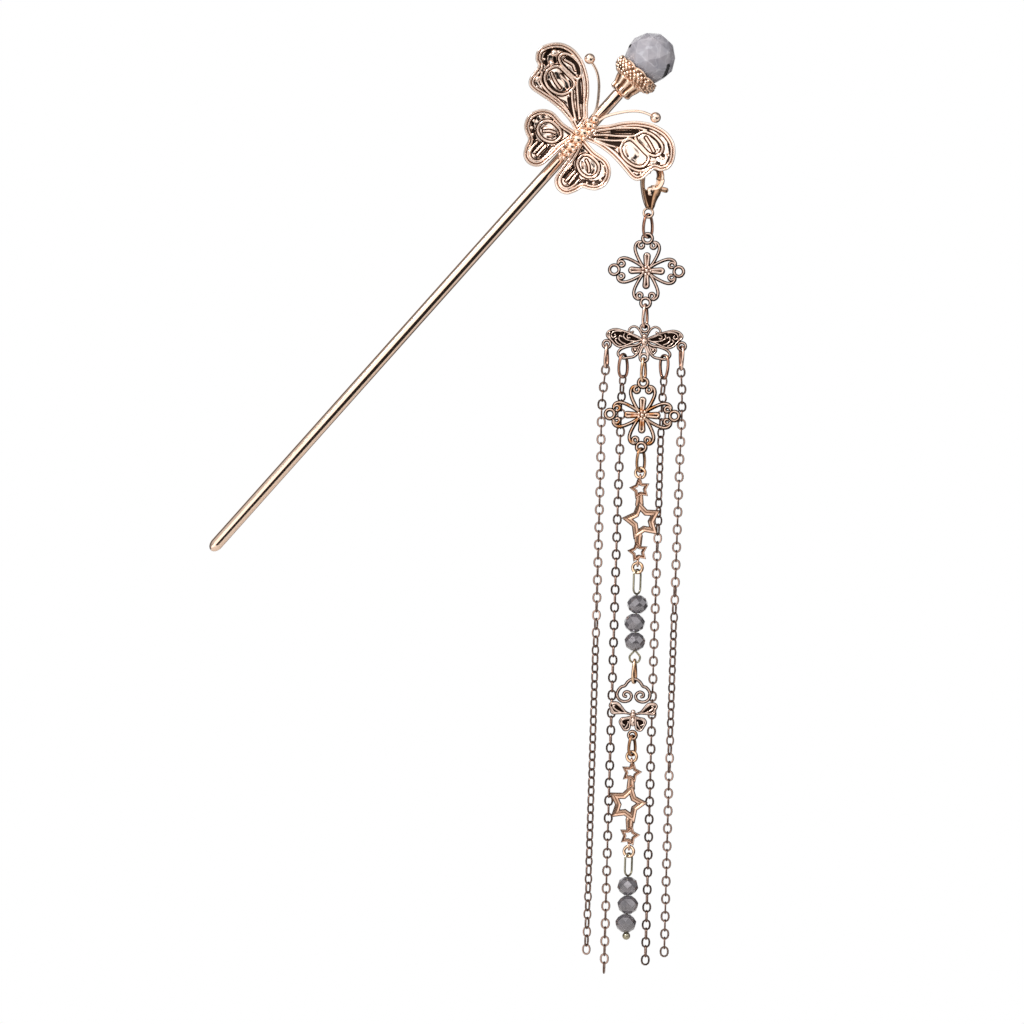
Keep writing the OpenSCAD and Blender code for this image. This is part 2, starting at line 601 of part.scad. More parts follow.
module clasp_lever() {
    hook_r = clasp_w / 2;
    top = [for (a = [6 : -14 : -106]) [0, mouth_low_z] + (mouth_r + 0.05) * [cos(a), sin(a)]];
    foot = [for (a = [165 : 25 : 315]) [0, pivot_z] + 0.8 * [cos(a), sin(a)]];
    tab = [
        [0.8 * hook_r, 0.8 * pivot_z], [1.38 * hook_r, 0.78 * pivot_z], [1.48 * hook_r, 0.69 * pivot_z],
        [1.38 * hook_r, 0.61 * pivot_z], [0.93 * hook_r, 0.56 * pivot_z], lever_corner];
    color(ROSE) translate([hang_x, hang_y, hang_z]) rotate([90, 0, 0])
        linear_extrude(height = lever_t, center = true) difference() {
            polygon(concat(top, foot, tab));
            translate([0, pivot_z]) circle(d = rivet_d + 0.2);
        }
}

module petal_half() {
    scroll = [for (k = [0 : 11]) let (a = 90 - k * 26, r = SCROLL_R[0] + (SCROLL_R[1] - SCROLL_R[0]) * k / 11)
        (SCROLL_AT + r * [cos(a), sin(a)]) * flower_reach];
    stroke(concat(open_curve(PETAL * flower_reach, 2), scroll), cast_wire);
}

module flower(turn) {
    rotate([0, 0, turn]) {
        cast_plate(cast_t) {
            for (a = [0 : 90 : 270]) rotate(a) {
                both_sides() petal_half();
                translate([0, flower_reach]) flat_ring(flower_eye_d, cast_wire);
            }
            circle(r = 0.18 * flower_reach, $fn = 24);
        }
        for (a = [0 : 90 : 270]) rotate([0, a, 0]) translate([0, 0, 0.34 * flower_reach])
            rotate([90, 0, 0]) linear_extrude(height = 1.5 * cast_t, center = true)
                polygon([for (b = [0 : 24 : 336]) [0.11 * flower_reach * cos(b), 0.2 * flower_reach * sin(b)]]);
        rotate([90, 0, 0]) cylinder(r = 0.12 * flower_reach, h = 2 * cast_t, center = true);
        for (b = [45 : 90 : 315]) translate([0.1 * flower_reach * cos(b), -0.6 * cast_t, 0.1 * flower_reach * sin(b)])
            sphere(d = 0.13 * flower_reach);
    }
}

module flower_upper() {
    color(ROSE) tassel_at(flower_upper_z) flower(0);
}

module flower_lower() {
    color(GOLD) tassel_at(flower_lower_z) flower(0);
}

module filigree_butterfly() {
    k = span_half * [1, 1];
    loops = spread(MOTH_LOOP, [span_half, loop_drop / 0.52]);
    color(ROSE) tassel_at(moth_z) {
        cast_plate(cast_t) {
            both_sides() {
                stroke(open_curve(spread(MOTH_FORE, k), 3), cast_wire);
                stroke(open_curve(loops, 3), cast_wire);
                stroke(open_curve(spread(MOTH_ANTENNA, k), 3), 0.8 * cast_wire);
                stroke(open_curve(spread(MOTH_VINE, k), 3), 0.8 * cast_wire);
                translate([span_half, -outer_eye_drop]) flat_ring(2 * outer_eye_r + cast_wire, cast_wire);
            }
            translate([0, moth_top_eye]) flat_ring(small_eye_d, cast_wire);
            translate([0, -moth_low_eye]) flat_ring(small_eye_d, cast_wire);
            stroke([[0, 0], [0, small_eye_r - moth_low_eye]], 1.2 * cast_wire);
            stroke([[0, 0], [0, moth_top_eye - small_eye_r]], cast_wire);
        }
        sphere(d = moth_body_d);
        translate([0, 0, -moth_tail_drop]) sphere(d = moth_tail_d);
    }
}

module scroll_connector() {
    k = scroll_h * [1, 1];
    color(ROSE) tassel_at(scroll_z) {
        cast_plate(cast_t) {
            both_sides() {
                stroke(open_curve(spread(CLOUD, k), 3), cast_wire);
                stroke(open_curve(spread(SMALL_FORE, k), 3), cast_wire);
                stroke(open_curve(spread(SMALL_HIND, k), 3), cast_wire);
            }
            translate([0, -scroll_drop]) flat_ring(small_eye_d, cast_wire);
            stroke([[0, 0.3], [0, small_eye_r - scroll_drop]], 1.2 * cast_wire);
        }
        sphere(d = scroll_body_d);
        translate([0, 0, -scroll_tail_drop]) sphere(d = scroll_tail_d);
    }
}

function star(r, waist, turn) = [for (i = [0 : 9]) let (a = turn + i * 36) (i % 2 == 0 ? r : waist * r) * [cos(a), sin(a)]];

module star_ring(r) {
    turn = 103;
    difference() {
        polygon(star(r, 0.55, turn));
        polygon(star(0.55 * r, 0.5, turn));
    }
}

// Three open stars in a row with a bar from each to the next; the eyes at the ends face sideways.
module star_charm() {
    bar = 0.42 * star_r;
    lift = star_eye_reach + star_step;
    rotate([90, 0, 0]) linear_extrude(height = star_t, center = true) offset(delta = -0.05) offset(delta = 0.05) {
        translate([0.16 * star_r, 0]) star_ring(star_r);
        for (z = [-star_step, star_step]) translate([0, z]) star_ring(small_star_r);
        for (z = [-1, 1]) translate([-0.5 * bar, z > 0 ? 0.42 * star_step : -0.8 * star_step])
            square([bar, 0.38 * star_step]);
        for (z = [-1, 1]) translate([-0.35, z > 0 ? star_step + 0.4 * small_star_r : -lift + star_eye_r])
            square([0.7, lift - star_eye_r - star_step - 0.4 * small_star_r]);
    }
    for (z = [-lift, lift]) translate([0, 0, z]) rotate([0, 0, 90]) round_ring(star_eye_r, star_eye_wire);
}

module star_charm_upper() {
    color(GOLD) tassel_at(star_upper_z) star_charm();
}

module star_charm_lower() {
    color(GOLD) tassel_at(star_lower_z) mirror([1, 0, 0]) star_charm();
}

module ring_clasp() { color(ROSE) hung_ring(ring_clasp_top, oval_h, turned); }
module ring_flower_upper() { color(ROSE) hung_ring(ring_flower_upper_top, oval_h, edge_on); }
module ring_flower_lower() { color(GOLD) hung_ring(ring_flower_lower_top, oval_h, edge_on); }
module ring_star_upper_long() { color(GOLD) hung_ring(ring_star_upper_top, oval_h, turned); }
module ring_star_lower_long() { color(GOLD) hung_ring(ring_star_lower_top, short_oval_h, steep); }
module ring_scroll() { color(GOLD) hung_ring(ring_scroll_top, oval_h, edge_on); }

module small_ring(z) {
    color(GOLD) tassel_at(z, half_turned) round_ring(round_ring_r, ring_wire);
}
module ring_star_upper_round() { small_ring(round_upper_z); }
module ring_star_lower_round() { small_ring(round_lower_z); }
module ring_bead_upper() { small_ring(ring_bead_upper_z); }
module ring_bead_lower() { small_ring(ring_bead_lower_z); }

module strand_ring(x, top, turn) {
    color(ROSE) translate([x, 0, 0]) hung_ring(top, oval_h, turn);
}
module ring_strand_1() { strand_ring(-span_half, outer_ring_top, edge_on); }
module ring_strand_2() { strand_ring(-loop_x, inner_ring_top, turned); }
module ring_strand_3() { strand_ring(loop_x, inner_ring_top, -turned); }
module ring_strand_4() { strand_ring(span_half, outer_ring_top, -edge_on); }

// A wire with a long loop at its top and a straight shank through three beads.
module threaded_wire(loop_top, loop_h, beads_top, shank) {
    tassel_at(loop_top - (loop_h - pin_wire) / 2, turned) long_ring(pin_loop_w, loop_h, pin_wire);
    tassel_at(beads_top - shank) cylinder(d = pin_wire, h = shank + pin_wire / 2);
}

module eye_wire_upper() {
    shank = beads_upper_top - eye_upper_low_z - eye_low_loop_r;
    color(STEEL) {
        threaded_wire(eye_upper_top, upper_loop_h, beads_upper_top, shank);
        tassel_at(eye_upper_low_z) round_ring(eye_low_loop_r, pin_wire);
    }
}

module eye_wire_lower() {
    color(STEEL) {
        threaded_wire(eye_lower_top, lower_loop_h, beads_lower_top, beads_lower_top - end_ball_z);
        tassel_at(end_ball_z) sphere(d = end_ball_d);
    }
}

// Beads sit loosely on the wire: each is shifted and tipped by a share of the slack in its hole.
slack = (bead_hole - pin_wire) / 2 - seat_gap;
BEAD_SHIFT = [0.8, -0.9, -0.3, 0, 0.4, -0.6];
BEAD_TURN = [10, 35, 5, 20, 0, 40];

module bead(i) {
    upper = i < 3;
    top = upper ? beads_upper_top : beads_lower_top;
    row = upper ? i : i - 3;
    color(SMOKE) tassel_at(top - bead_step * (row + 0.5)) translate([slack * BEAD_SHIFT[i], 0, 0]) difference() {
        rotate([0, 0, BEAD_TURN[i]]) cut_bead(bead_d, bead_l, bead_sides);
        cylinder(d = bead_hole, h = 2 * bead_l, center = true);
    }
}

// A chain's strand as an eight-sided tube along its route, with one ring of corners at each step.
module chain(i) {
    route = ROUTES[i];
    legs = len(route) - 1;
    path = [for (k = [0 : CHAIN_STEPS - 1]) let (t = legs * k / (CHAIN_STEPS - 1), s = min(floor(t), legs - 1))
        open_point(route, s, t - s)];
    outer = i == 0 || i == 3;
    low = (outer ? outer_ring_top : inner_ring_top) - (oval_h - ring_wire);
    shown = [for (p = path) [p.x * span_half / 7.5, p.y * chain_back / 1.8, low + p.z]];
    n = len(shown);
    points = [for (k = [0 : n - 1], a = [0 : CHAIN_SIDES - 1])
        let (d = unit(shown[min(k + 1, n - 1)] - shown[max(k - 1, 0)]),
            u = unit(cross([0, 1, 0], d)), v = cross(d, u), w = a * 360 / CHAIN_SIDES)
            shown[k] + chain_w / 2 * (cos(w) * u + sin(w) * v)];
    sides = [for (k = [0 : n - 2], a = [0 : CHAIN_SIDES - 1])
        let (b = (a + 1) % CHAIN_SIDES, p = k * CHAIN_SIDES, q = p + CHAIN_SIDES)
            each [[p + a, q + b, q + a], [p + a, p + b, q + b]]];
    caps = [[for (a = [CHAIN_SIDES - 1 : -1 : 0]) a], [for (a = [0 : CHAIN_SIDES - 1]) (n - 1) * CHAIN_SIDES + a]];
    color(ROSE) tassel_at(0) polyhedron(points = points, faces = concat(sides, caps));
}

module bead_upper_1() { bead(0); }
module bead_upper_2() { bead(1); }
module bead_upper_3() { bead(2); }
module bead_lower_1() { bead(3); }
module bead_lower_2() { bead(4); }
module bead_lower_3() { bead(5); }
module chain_1() { chain(0); }
module chain_2() { chain(1); }
module chain_3() { chain(2); }
module chain_4() { chain(3); }

stick();
cup_cone();
crown_cap();
crystal_bead();
butterfly();
wing_ring();
clasp_body();
clasp_lever();
ring_clasp();
flower_upper();
ring_flower_upper();
filigree_butterfly();
ring_flower_lower();
flower_lower();
ring_star_upper_long();
ring_star_upper_round();
star_charm_upper();
ring_bead_upper();
eye_wire_upper();
bead_upper_1();
bead_upper_2();
bead_upper_3();
ring_scroll();
scroll_connector();
ring_star_lower_long();
ring_star_lower_round();
star_charm_lower();
ring_bead_lower();
eye_wire_lower();
bead_lower_1();
bead_lower_2();
bead_lower_3();
ring_strand_1();
ring_strand_2();
ring_strand_3();
ring_strand_4();
chain_1();
chain_2();
chain_3();
chain_4();
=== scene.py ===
"""Buyao hairpin, dressed: a rose gold stick with a cast butterfly and a long filigree tassel."""

from __future__ import annotations

import logging
import math
from dataclasses import dataclass, field
from enum import Enum

import bpy
import numpy as np
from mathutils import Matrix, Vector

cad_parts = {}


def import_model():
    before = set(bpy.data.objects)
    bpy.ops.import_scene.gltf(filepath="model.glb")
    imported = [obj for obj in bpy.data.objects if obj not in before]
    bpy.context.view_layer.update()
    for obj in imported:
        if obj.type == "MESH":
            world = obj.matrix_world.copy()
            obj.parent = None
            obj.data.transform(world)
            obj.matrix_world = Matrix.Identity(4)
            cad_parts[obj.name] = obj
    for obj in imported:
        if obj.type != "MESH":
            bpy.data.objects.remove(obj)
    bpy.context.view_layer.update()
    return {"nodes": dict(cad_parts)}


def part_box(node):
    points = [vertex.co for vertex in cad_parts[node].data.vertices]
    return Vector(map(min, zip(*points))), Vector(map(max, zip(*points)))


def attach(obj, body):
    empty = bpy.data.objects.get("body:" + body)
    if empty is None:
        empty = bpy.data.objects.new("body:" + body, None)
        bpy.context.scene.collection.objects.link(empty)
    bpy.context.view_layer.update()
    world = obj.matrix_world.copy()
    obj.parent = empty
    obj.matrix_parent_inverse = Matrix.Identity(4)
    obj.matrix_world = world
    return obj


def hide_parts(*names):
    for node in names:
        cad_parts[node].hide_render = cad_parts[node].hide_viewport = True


MM = 0.001
LEAN = math.radians(40.0)
LOG = logging.getLogger("hairpin")
# Places whose distances to a line are worked out at once.
BATCH = 4000


class Body(Enum):
    """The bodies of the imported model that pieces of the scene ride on."""

    HAIRPIN = "hairpin"
    TASSEL = "tassel"
    CLASP_GATE = "clasp_gate"


# Curves and surfaces, all in millimetres


def catmull(points: np.ndarray, steps: int, closed: bool = False) -> np.ndarray:
    """A smooth curve through chosen points: each span is the cubic that follows its neighbours' chord.

    Args:
        points: The chosen points, one a row.
        steps: Places worked out on each span.
        closed: Whether the curve runs back to its first point.

    Returns:
        The curve's points, without a repeat of the first one where it is closed.
    """
    p = np.asarray(points, float)
    n = len(p)
    spans = np.arange(n if closed else n - 1)
    index = spans[:, None] + np.array([-1, 0, 1, 2])
    index = index % n if closed else np.clip(index, 0, n - 1)
    a, b, c, d = (p[index[:, k]][:, None, :] for k in range(4))
    t = (np.arange(steps) / steps)[None, :, None]
    curve = 0.5 * (2 * b + (c - a) * t + (2 * a - 5 * b + 4 * c - d) * t**2 + (3 * b - a - 3 * c + d) * t**3)
    curve = curve.reshape(-1, p.shape[1])
    return curve if closed else np.vstack([curve, p[-1]])


def unit(vectors: np.ndarray) -> np.ndarray:
    """The same directions with length one."""
    return vectors / np.maximum(np.linalg.norm(vectors, axis=-1, keepdims=True), 1e-9)


def turns(count: int) -> np.ndarray:
    """Evenly spaced turns of a full circle in radians, from nought."""
    return np.arange(count) * 2 * math.pi / count


def polar(turn: np.ndarray, radius: np.ndarray | float,
          height: np.ndarray | float | None = None) -> np.ndarray:
    """Points at turns and radii from the origin: in the plane, or in space where a height is given."""
    flat = radius * np.cos(turn), radius * np.sin(turn)
    return np.stack(flat if height is None else np.broadcast_arrays(*flat, height), axis=-1)


def even(path: np.ndarray, places: np.ndarray) -> np.ndarray:
    """The points at given lengths along a path, by straight steps between its own points."""
    run = np.concatenate([[0], np.cumsum(np.linalg.norm(np.diff(path, axis=0), axis=1))])
    return np.stack([np.interp(places, run, path[:, k]) for k in range(path.shape[1])], axis=1)


def stadium(width: float, height: float, count: int) -> np.ndarray:
    """Middle line of a long ring in X and Z: two half circles and straight sides, evenly spaced."""
    top = polar(np.linspace(0, math.pi, 40), width / 2) + [0, (height - width) / 2]
    loop = np.vstack([top, -top, top[:1]])
    total = np.linalg.norm(np.diff(loop, axis=0), axis=1).sum()
    return flat_path(even(loop, np.arange(count) * total / count))


def spin(angle: float, axis: str = "z") -> np.ndarray:
    """The turn by an angle in radians about one axis, as a matrix."""
    c, s = math.cos(angle), math.sin(angle)
    rows = {
        "x": [[1, 0, 0], [0, c, -s], [0, s, c]],
        "y": [[c, 0, s], [0, 1, 0], [-s, 0, c]],
        "z": [[c, -s, 0], [s, c, 0], [0, 0, 1]],
    }
    return np.array(rows[axis])


def line_distance(points: np.ndarray, line: np.ndarray, closed: bool = False) -> np.ndarray:
    """Shortest distance from each point to a broken line in the plane.

    Args:
        points: Places in the plane, (n, 2).
        line: Corners of the line, (m, 2).
        closed: Whether the line runs back to its first corner.

    Returns:
        One distance for each place.
    """
    a = line if closed else line[:-1]
    b = np.roll(line, -1, axis=0) if closed else line[1:]
    along = b - a
    best = np.full(len(points), np.inf)
    for start in range(0, len(points), BATCH):
        p = points[start : start + BATCH, None, :]
        t = np.clip(((p - a) * along).sum(2) / np.maximum((along**2).sum(1), 1e-12), 0, 1)
        gap = np.linalg.norm(p - a - t[:, :, None] * along, axis=2)
        best[start : start + BATCH] = gap.min(1)
    return best


def inside(points: np.ndarray, outline: np.ndarray) -> np.ndarray:
    """Whether each point lies in a closed outline: a ray to its right crosses an odd number of edges."""
    a, b = outline, np.roll(outline, -1, axis=0)
    x, y = points[:, 0:1], points[:, 1:2]
    spans = (a[:, 1] > y) != (b[:, 1] > y)
    rise = np.where(np.abs(b[:, 1] - a[:, 1]) < 1e-12, 1e-12, b[:, 1] - a[:, 1])
    cross = (b[:, 0] - a[:, 0]) * (y - a[:, 1]) / rise + a[:, 0]
    return (spans & (x < cross)).sum(1) % 2 == 1


def smooth(values: np.ndarray, low: float, high: float) -> np.ndarray:
    """Zero below low, one above high, and an S-shaped rise between them."""
    t = np.clip((values - low) / (high - low), 0, 1)
    return t * t * (3 - 2 * t)


def round_line(gap: np.ndarray, half: float, height: float) -> np.ndarray:
    """A half-round line's height at a gap from its middle: height * (1 - (gap / half)^2)^0.5, or nought."""
    return height * np.sqrt(np.clip(1 - (gap / half) ** 2, 0, 1))


@dataclass
class Shape:
    """Points in millimetres, the faces between them, and each point's share of painted shade, from 0 to 1.
    """

    points: np.ndarray
    quads: np.ndarray = field(default_factory=lambda: np.zeros((0, 4), int))
    tris: np.ndarray = field(default_factory=lambda: np.zeros((0, 3), int))
    painted_shade: np.ndarray | None = None

    def __post_init__(self) -> None:
        """Fills in no painted shade where none is given."""
        if self.painted_shade is None:
            self.painted_shade = np.zeros(len(self.points))

    def moved(self, turn: np.ndarray | None = None,
              offset: tuple[float, ...] | np.ndarray = (0, 0, 0)) -> Shape:
        """The shape turned by a matrix and then shifted."""
        points = self.points if turn is None else self.points @ np.asarray(turn).T
        return Shape(points + np.asarray(offset), self.quads, self.tris, self.painted_shade)

    def mirrored(self) -> Shape:
        """The shape's mirror image across X = 0, with its faces turned so that they still point outwards."""
        return Shape(self.points * [-1, 1, 1], self.quads[:, ::-1], self.tris[:, ::-1], self.painted_shade)

    def outward(self) -> Shape:
        """The same closed shape with its faces turned outwards, which shows as a volume above nought."""
        corners = np.vstack([self.quads[:, [0, 1, 2]], self.quads[:, [0, 2, 3]], self.tris])
        a, b, c = (self.points[corners[:, k]] for k in range(3))
        if np.einsum("ij,ij->i", a, np.cross(b, c)).sum() >= 0:
            return self
        return Shape(self.points, self.quads[:, ::-1], self.tris[:, ::-1], self.painted_shade)

    def mesh(self, name: str) -> bpy.types.Mesh:
        """The shape as a mesh in metres."""
        mesh = bpy.data.meshes.new(name)
        mesh.from_pydata((self.points * MM).tolist(), [], self.quads.tolist() + self.tris.tolist())
        return mesh

    @staticmethod
    def joined(shapes: list[Shape]) -> Shape:
        """Several shapes as one."""
        starts = np.cumsum([0] + [len(s.points) for s in shapes[:-1]])
        return Shape(
            np.vstack([s.points for s in shapes]),
            np.vstack([s.quads + k for s, k in zip(shapes, starts)]),
            np.vstack([s.tris + k for s, k in zip(shapes, starts)]),
            np.concatenate([s.painted_shade for s in shapes]),
        )


def skin(rings: np.ndarray, loop: bool = False, poles: tuple[np.ndarray, np.ndarray] | None = None,
         painted_shade: np.ndarray | None = None) -> Shape:
    """A closed skin over rings of points: each ring is joined to the next, and the ends meet or close.

    Args:
        rings: Points as (rings, points of a ring, 3).
        loop: Whether the last ring joins the first.
        poles: The closing points where the rings don't loop, by default the middles of the end rings.
        painted_shade: Share of painted shade as (rings, points of a ring).

    Returns:
        The shape, with its faces outwards.
    """
    rows, cols = rings.shape[:2]
    index = np.arange(rows * cols).reshape(rows, cols)
    below = np.roll(index, -1, axis=0) if loop else index[1:]
    above = index if loop else index[:-1]
    quads = np.stack([above, np.roll(above, -1, 1), np.roll(below, -1, 1), below], axis=2).reshape(-1, 4)
    points = rings.reshape(-1, 3)
    # Each point's share of painted shade, nought where none is given.
    depth = np.zeros(rows * cols) if painted_shade is None else painted_shade.ravel()
    tris = np.zeros((0, 3), int)
    if not loop:
        ends = poles or (rings[0].mean(0), rings[-1].mean(0))
        points = np.vstack([points, ends])
        first, last = rows * cols, rows * cols + 1
        tris = np.vstack([
            np.stack([np.full(cols, first), np.roll(index[0], -1), index[0]], axis=1),
            np.stack([np.full(cols, last), index[-1], np.roll(index[-1], -1)], axis=1),
        ])
        depth = np.concatenate([depth, depth[:1], depth[-1:]])
    return Shape(points, quads, tris, depth).outward()


def circle_profile(radius: float, sides: int) -> np.ndarray:
    """The section of a round wire, (sides, 2)."""
    return polar(turns(sides), radius)


def swept(path: np.ndarray, profile: np.ndarray, up: tuple[float, float, float] | np.ndarray = (0, 1, 0),
          closed: bool = False, scale: np.ndarray | None = None, round_end: float = 0.0,
          shade: np.ndarray | None = None) -> Shape:
    """A profile carried along a path, its first axis square to the path and to up, its second along up.

    Args:
        path: Points of the path, (n, 3).
        profile: Outline of the section, (k, 2).
        up: A direction that the path never runs along.
        closed: Whether the path is a loop.
        scale: Size of the section at each point of the path.
        round_end: Length over which each open end is drawn in to a dome.
        shade: Share of painted shade of each corner of the section.

    Returns:
        The swept shape.
    """
    path = np.asarray(path, float)
    scale = np.ones(len(path)) if scale is None else np.asarray(scale, float)
    if closed:
        along = unit(np.roll(path, -1, 0) - np.roll(path, 1, 0))
    else:
        along = unit(np.gradient(path, axis=0))
    if round_end and not closed:
        bow = np.radians([80, 60, 40, 20])
        first = path[0] - along[0] * round_end * np.sin(bow)[:, None]
        last = path[-1] + along[-1] * round_end * np.sin(bow)[::-1, None]
        path = np.vstack([first, path, last])
        scale = np.concatenate([scale[0] * np.cos(bow), scale, scale[-1] * np.cos(bow)[::-1]])
        along = np.vstack([np.repeat(along[:1], 4, 0), along, np.repeat(along[-1:], 4, 0)])
    side = unit(np.cross(np.broadcast_to(np.asarray(up, float), along.shape), along))
    rise = np.cross(along, side)
    section = profile[None, :, 0:1] * side[:, None, :] + profile[None, :, 1:2] * rise[:, None, :]
    rings = path[:, None, :] + scale[:, None, None] * section
    # The painted shade of each corner, the same all along the path.
    depth = None if shade is None else np.broadcast_to(shade, rings.shape[:2])
    return skin(rings, loop=closed, painted_shade=depth)


def revolved(profile: np.ndarray, sides: int, ripple: np.ndarray | None = None,
             rise: np.ndarray | None = None, painted_shade: np.ndarray | None = None) -> Shape:
    """A surface of revolution about Z, with a ripple added to its radius and a rise to its height.

    Args:
        profile: Radius and height from one pole to the other, (n, 2), without the poles' own points.
        sides: Points round each ring.
        ripple: What is added to the radius, (n, sides).
        rise: What is added to the height, (n, sides).
        painted_shade: Share of painted shade, (n, sides).

    Returns:
        The closed shape.
    """
    radius = profile[:, 0:1] + (np.zeros(sides) if ripple is None else ripple)
    height = profile[:, 1:2] + (np.zeros(sides) if rise is None else rise)
    rings = polar(turns(sides), radius, height)
    poles = (np.array([0, 0, profile[0, 1]]), np.array([0, 0, profile[-1, 1]]))
    return skin(rings, poles=poles, painted_shade=painted_shade)


def balls(centres: np.ndarray, radii: np.ndarray, sides: int = 16) -> Shape:
    """Balls: each is a half circle turned about its own axis, in nine rings with a pole at both ends."""
    one = revolved(polar(np.radians(np.linspace(-75, 75, 9)), 1.0), sides)
    one.points[-2:] = [[0, 0, -1], [0, 0, 1]]
    return Shape.joined([one.moved(np.eye(3) * radius, centre) for centre, radius in zip(centres, radii)])


def flat_path(line: np.ndarray, depth: float = 0.0) -> np.ndarray:
    """A line drawn in X and Z as a path in space, all at one depth."""
    return np.stack([line[:, 0], np.full(len(line), depth), line[:, 1]], axis=1)


def circle(middle: tuple[float, float] | np.ndarray, radius: float, count: int = 36) -> np.ndarray:
    """Points round a circle of a drawing, anticlockwise."""
    return np.asarray(middle) + polar(turns(count), radius)


# Section of a cast wire seen along it, front towards the viewer, in shares of its width and depth: across,
# back, and each corner's painted shade. The upright walls are painted dark, the round front is polished.
PLAIN_WIRE = np.array([
    [-0.5, 0.4, 1], [-0.5, -0.08, 1], [-0.37, -0.35, 1], [-0.22, -0.45, 0.8], [-0.1, -0.49, 0.1],
    [0.1, -0.49, 0.1], [0.22, -0.45, 0.8], [0.37, -0.35, 1], [0.5, -0.08, 1], [0.5, 0.4, 1],
    [0.3, 0.5, 0.3], [-0.3, 0.5, 0.3]])
# The same for a bar with a groove down its middle.
GROOVED_BAR = np.array([
    [-0.5, 0.4, 0.9], [-0.5, -0.24, 0.9], [-0.44, -0.42, 0.6], [-0.33, -0.5, 0.1], [-0.14, -0.45, 0.1],
    [0, -0.34, 0.55], [0.14, -0.45, 0.1], [0.33, -0.5, 0.1], [0.44, -0.42, 0.6], [0.5, -0.24, 0.9],
    [0.5, 0.4, 0.9], [0.34, 0.5, 0.2], [-0.34, 0.5, 0.2]])
# The same for a wire that is polished all round, with painted shade on its sides.
ROUND_WIRE = np.array([
    [-0.5, 0.2, 0.9], [-0.5, -0.2, 0.85], [-0.35, -0.42, 0.35], [0, -0.5, 0], [0.35, -0.42, 0.35],
    [0.5, -0.2, 0.85], [0.5, 0.2, 0.9], [0.35, 0.42, 0.2], [0, 0.5, 0], [-0.35, 0.42, 0.2]])
# A fat rib beside another, shade painted on: bright back, dark outer wall, warm slope to the groove between.
RIB = np.array([
    [-0.5, 0.4, 0.9], [-0.5, 0, 0.9], [-0.46, -0.26, 0.45], [-0.34, -0.42, 0.1], [-0.16, -0.49, 0],
    [0.04, -0.49, 0], [0.2, -0.44, 0.6], [0.34, -0.3, 1], [0.5, 0, 1], [0.5, 0.4, 1], [0.3, 0.5, 0.3],
    [-0.3, 0.5, 0.3]])
# The lever's hollow top, shade painted on: a broad bright slope towards the mouth, then a dark outer side.
LEVER_BAND = np.array([
    [-0.5, 0.3, 0.6], [-0.5, -0.3, 0.4], [-0.42, -0.38, 0], [-0.1, -0.44, 0], [0.26, -0.5, 0],
    [0.4, -0.45, 0.6], [0.5, -0.2, 0.95], [0.5, 0.3, 0.95], [0.3, 0.5, 0.3], [-0.3, 0.5, 0.3]])
# The clasp's band, shade painted on: a bright ridge by its outer edge, a long amber slope in to the mouth.
CLASP_BAND = np.array([
    [0.5, 0.3, 0.95], [0.5, -0.25, 0.9], [0.45, -0.44, 0.6], [0.38, -0.5, 0], [0.14, -0.48, 0],
    [0.08, -0.44, 0.7], [0, -0.42, 0.46], [-0.24, -0.36, 0.42], [-0.42, -0.3, 0.6], [-0.5, -0.1, 0.95],
    [-0.5, 0.35, 0.95], [-0.3, 0.5, 0.3], [0.3, 0.5, 0.3]])
# The clasp's arm, shade painted on: a tan outer slope, a dark crease and a bright inner edge.
ARM_BAND = np.array([
    [0.5, 0.3, 0.95], [0.5, -0.2, 0.9], [0.38, -0.38, 0.45], [0.14, -0.46, 0.4], [0.0, -0.42, 0.85],
    [-0.14, -0.46, 0.15], [-0.34, -0.5, 0], [-0.45, -0.42, 0.7], [-0.5, -0.2, 0.95], [-0.5, 0.35, 0.95],
    [-0.3, 0.5, 0.3], [0.3, 0.5, 0.3]])
# The slope inside the lever's rim, painted amber shade all over, and the lever's rounded tab.
AMBER_WALL = np.array([
    [-0.5, 0.3, 0.6], [-0.5, -0.2, 0.55], [-0.3, -0.4, 0.45], [0.3, -0.5, 0.45], [0.5, -0.4, 0.7],
    [0.5, 0.3, 0.9], [0.3, 0.5, 0.3], [-0.3, 0.5, 0.3]])
TAB = np.array([
    [-0.5, 0.2, 0.95], [-0.5, -0.2, 0.9], [-0.36, -0.42, 0.45], [0, -0.5, 0.3], [0.36, -0.42, 0.5],
    [0.5, -0.2, 0.9], [0.5, 0.2, 0.95], [0.35, 0.42, 0.2], [0, 0.5, 0], [-0.35, 0.42, 0.2]])
# The rounded end of the lever's rim: left bright all over its front, with painted shade at its sides.
TONGUE = np.array([
    [-0.5, 0.3, 0.95], [-0.5, -0.25, 0.8], [-0.42, -0.4, 0.1], [-0.2, -0.47, 0], [0.1, -0.5, 0],
    [0.42, -0.42, 0.1], [0.5, -0.25, 0.8], [0.5, 0.3, 0.95], [0.3, 0.5, 0.3], [-0.3, 0.5, 0.3]])
# A flat tan bar with dark edges of painted shade.
FLAT_BAR = np.array([
    [-0.5, 0.3, 0.95], [-0.5, -0.3, 0.9], [-0.44, -0.44, 0.7], [-0.3, -0.5, 0.42], [0.28, -0.5, 0.42],
    [0.4, -0.46, 0.75], [0.5, -0.3, 0.95], [0.5, 0.3, 0.95], [0.3, 0.5, 0.3], [-0.3, 0.5, 0.3]])


def cast_wire(line: np.ndarray, width: float, depth: float, closed: bool = False,
              section: np.ndarray = PLAIN_WIRE, scale: np.ndarray | None = None) -> Shape:
    """A cast wire along a line of a drawing: a section with dark walls is carried along it, with domed ends.

    Args:
        line: The line in X and Z, (n, 2).
        width: Width of the wire.
        depth: Depth of the wire from front to back.
        closed: Whether the line is a loop.
        section: The section's table.
        scale: Size of the section at each point of the line.

    Returns:
        The wire.
    """
    dome = 0.0 if closed else 0.45 * width
    return swept(flat_path(line), section[:, :2] * [width, depth], closed=closed, scale=scale,
                 round_end=dome, shade=section[:, 2])


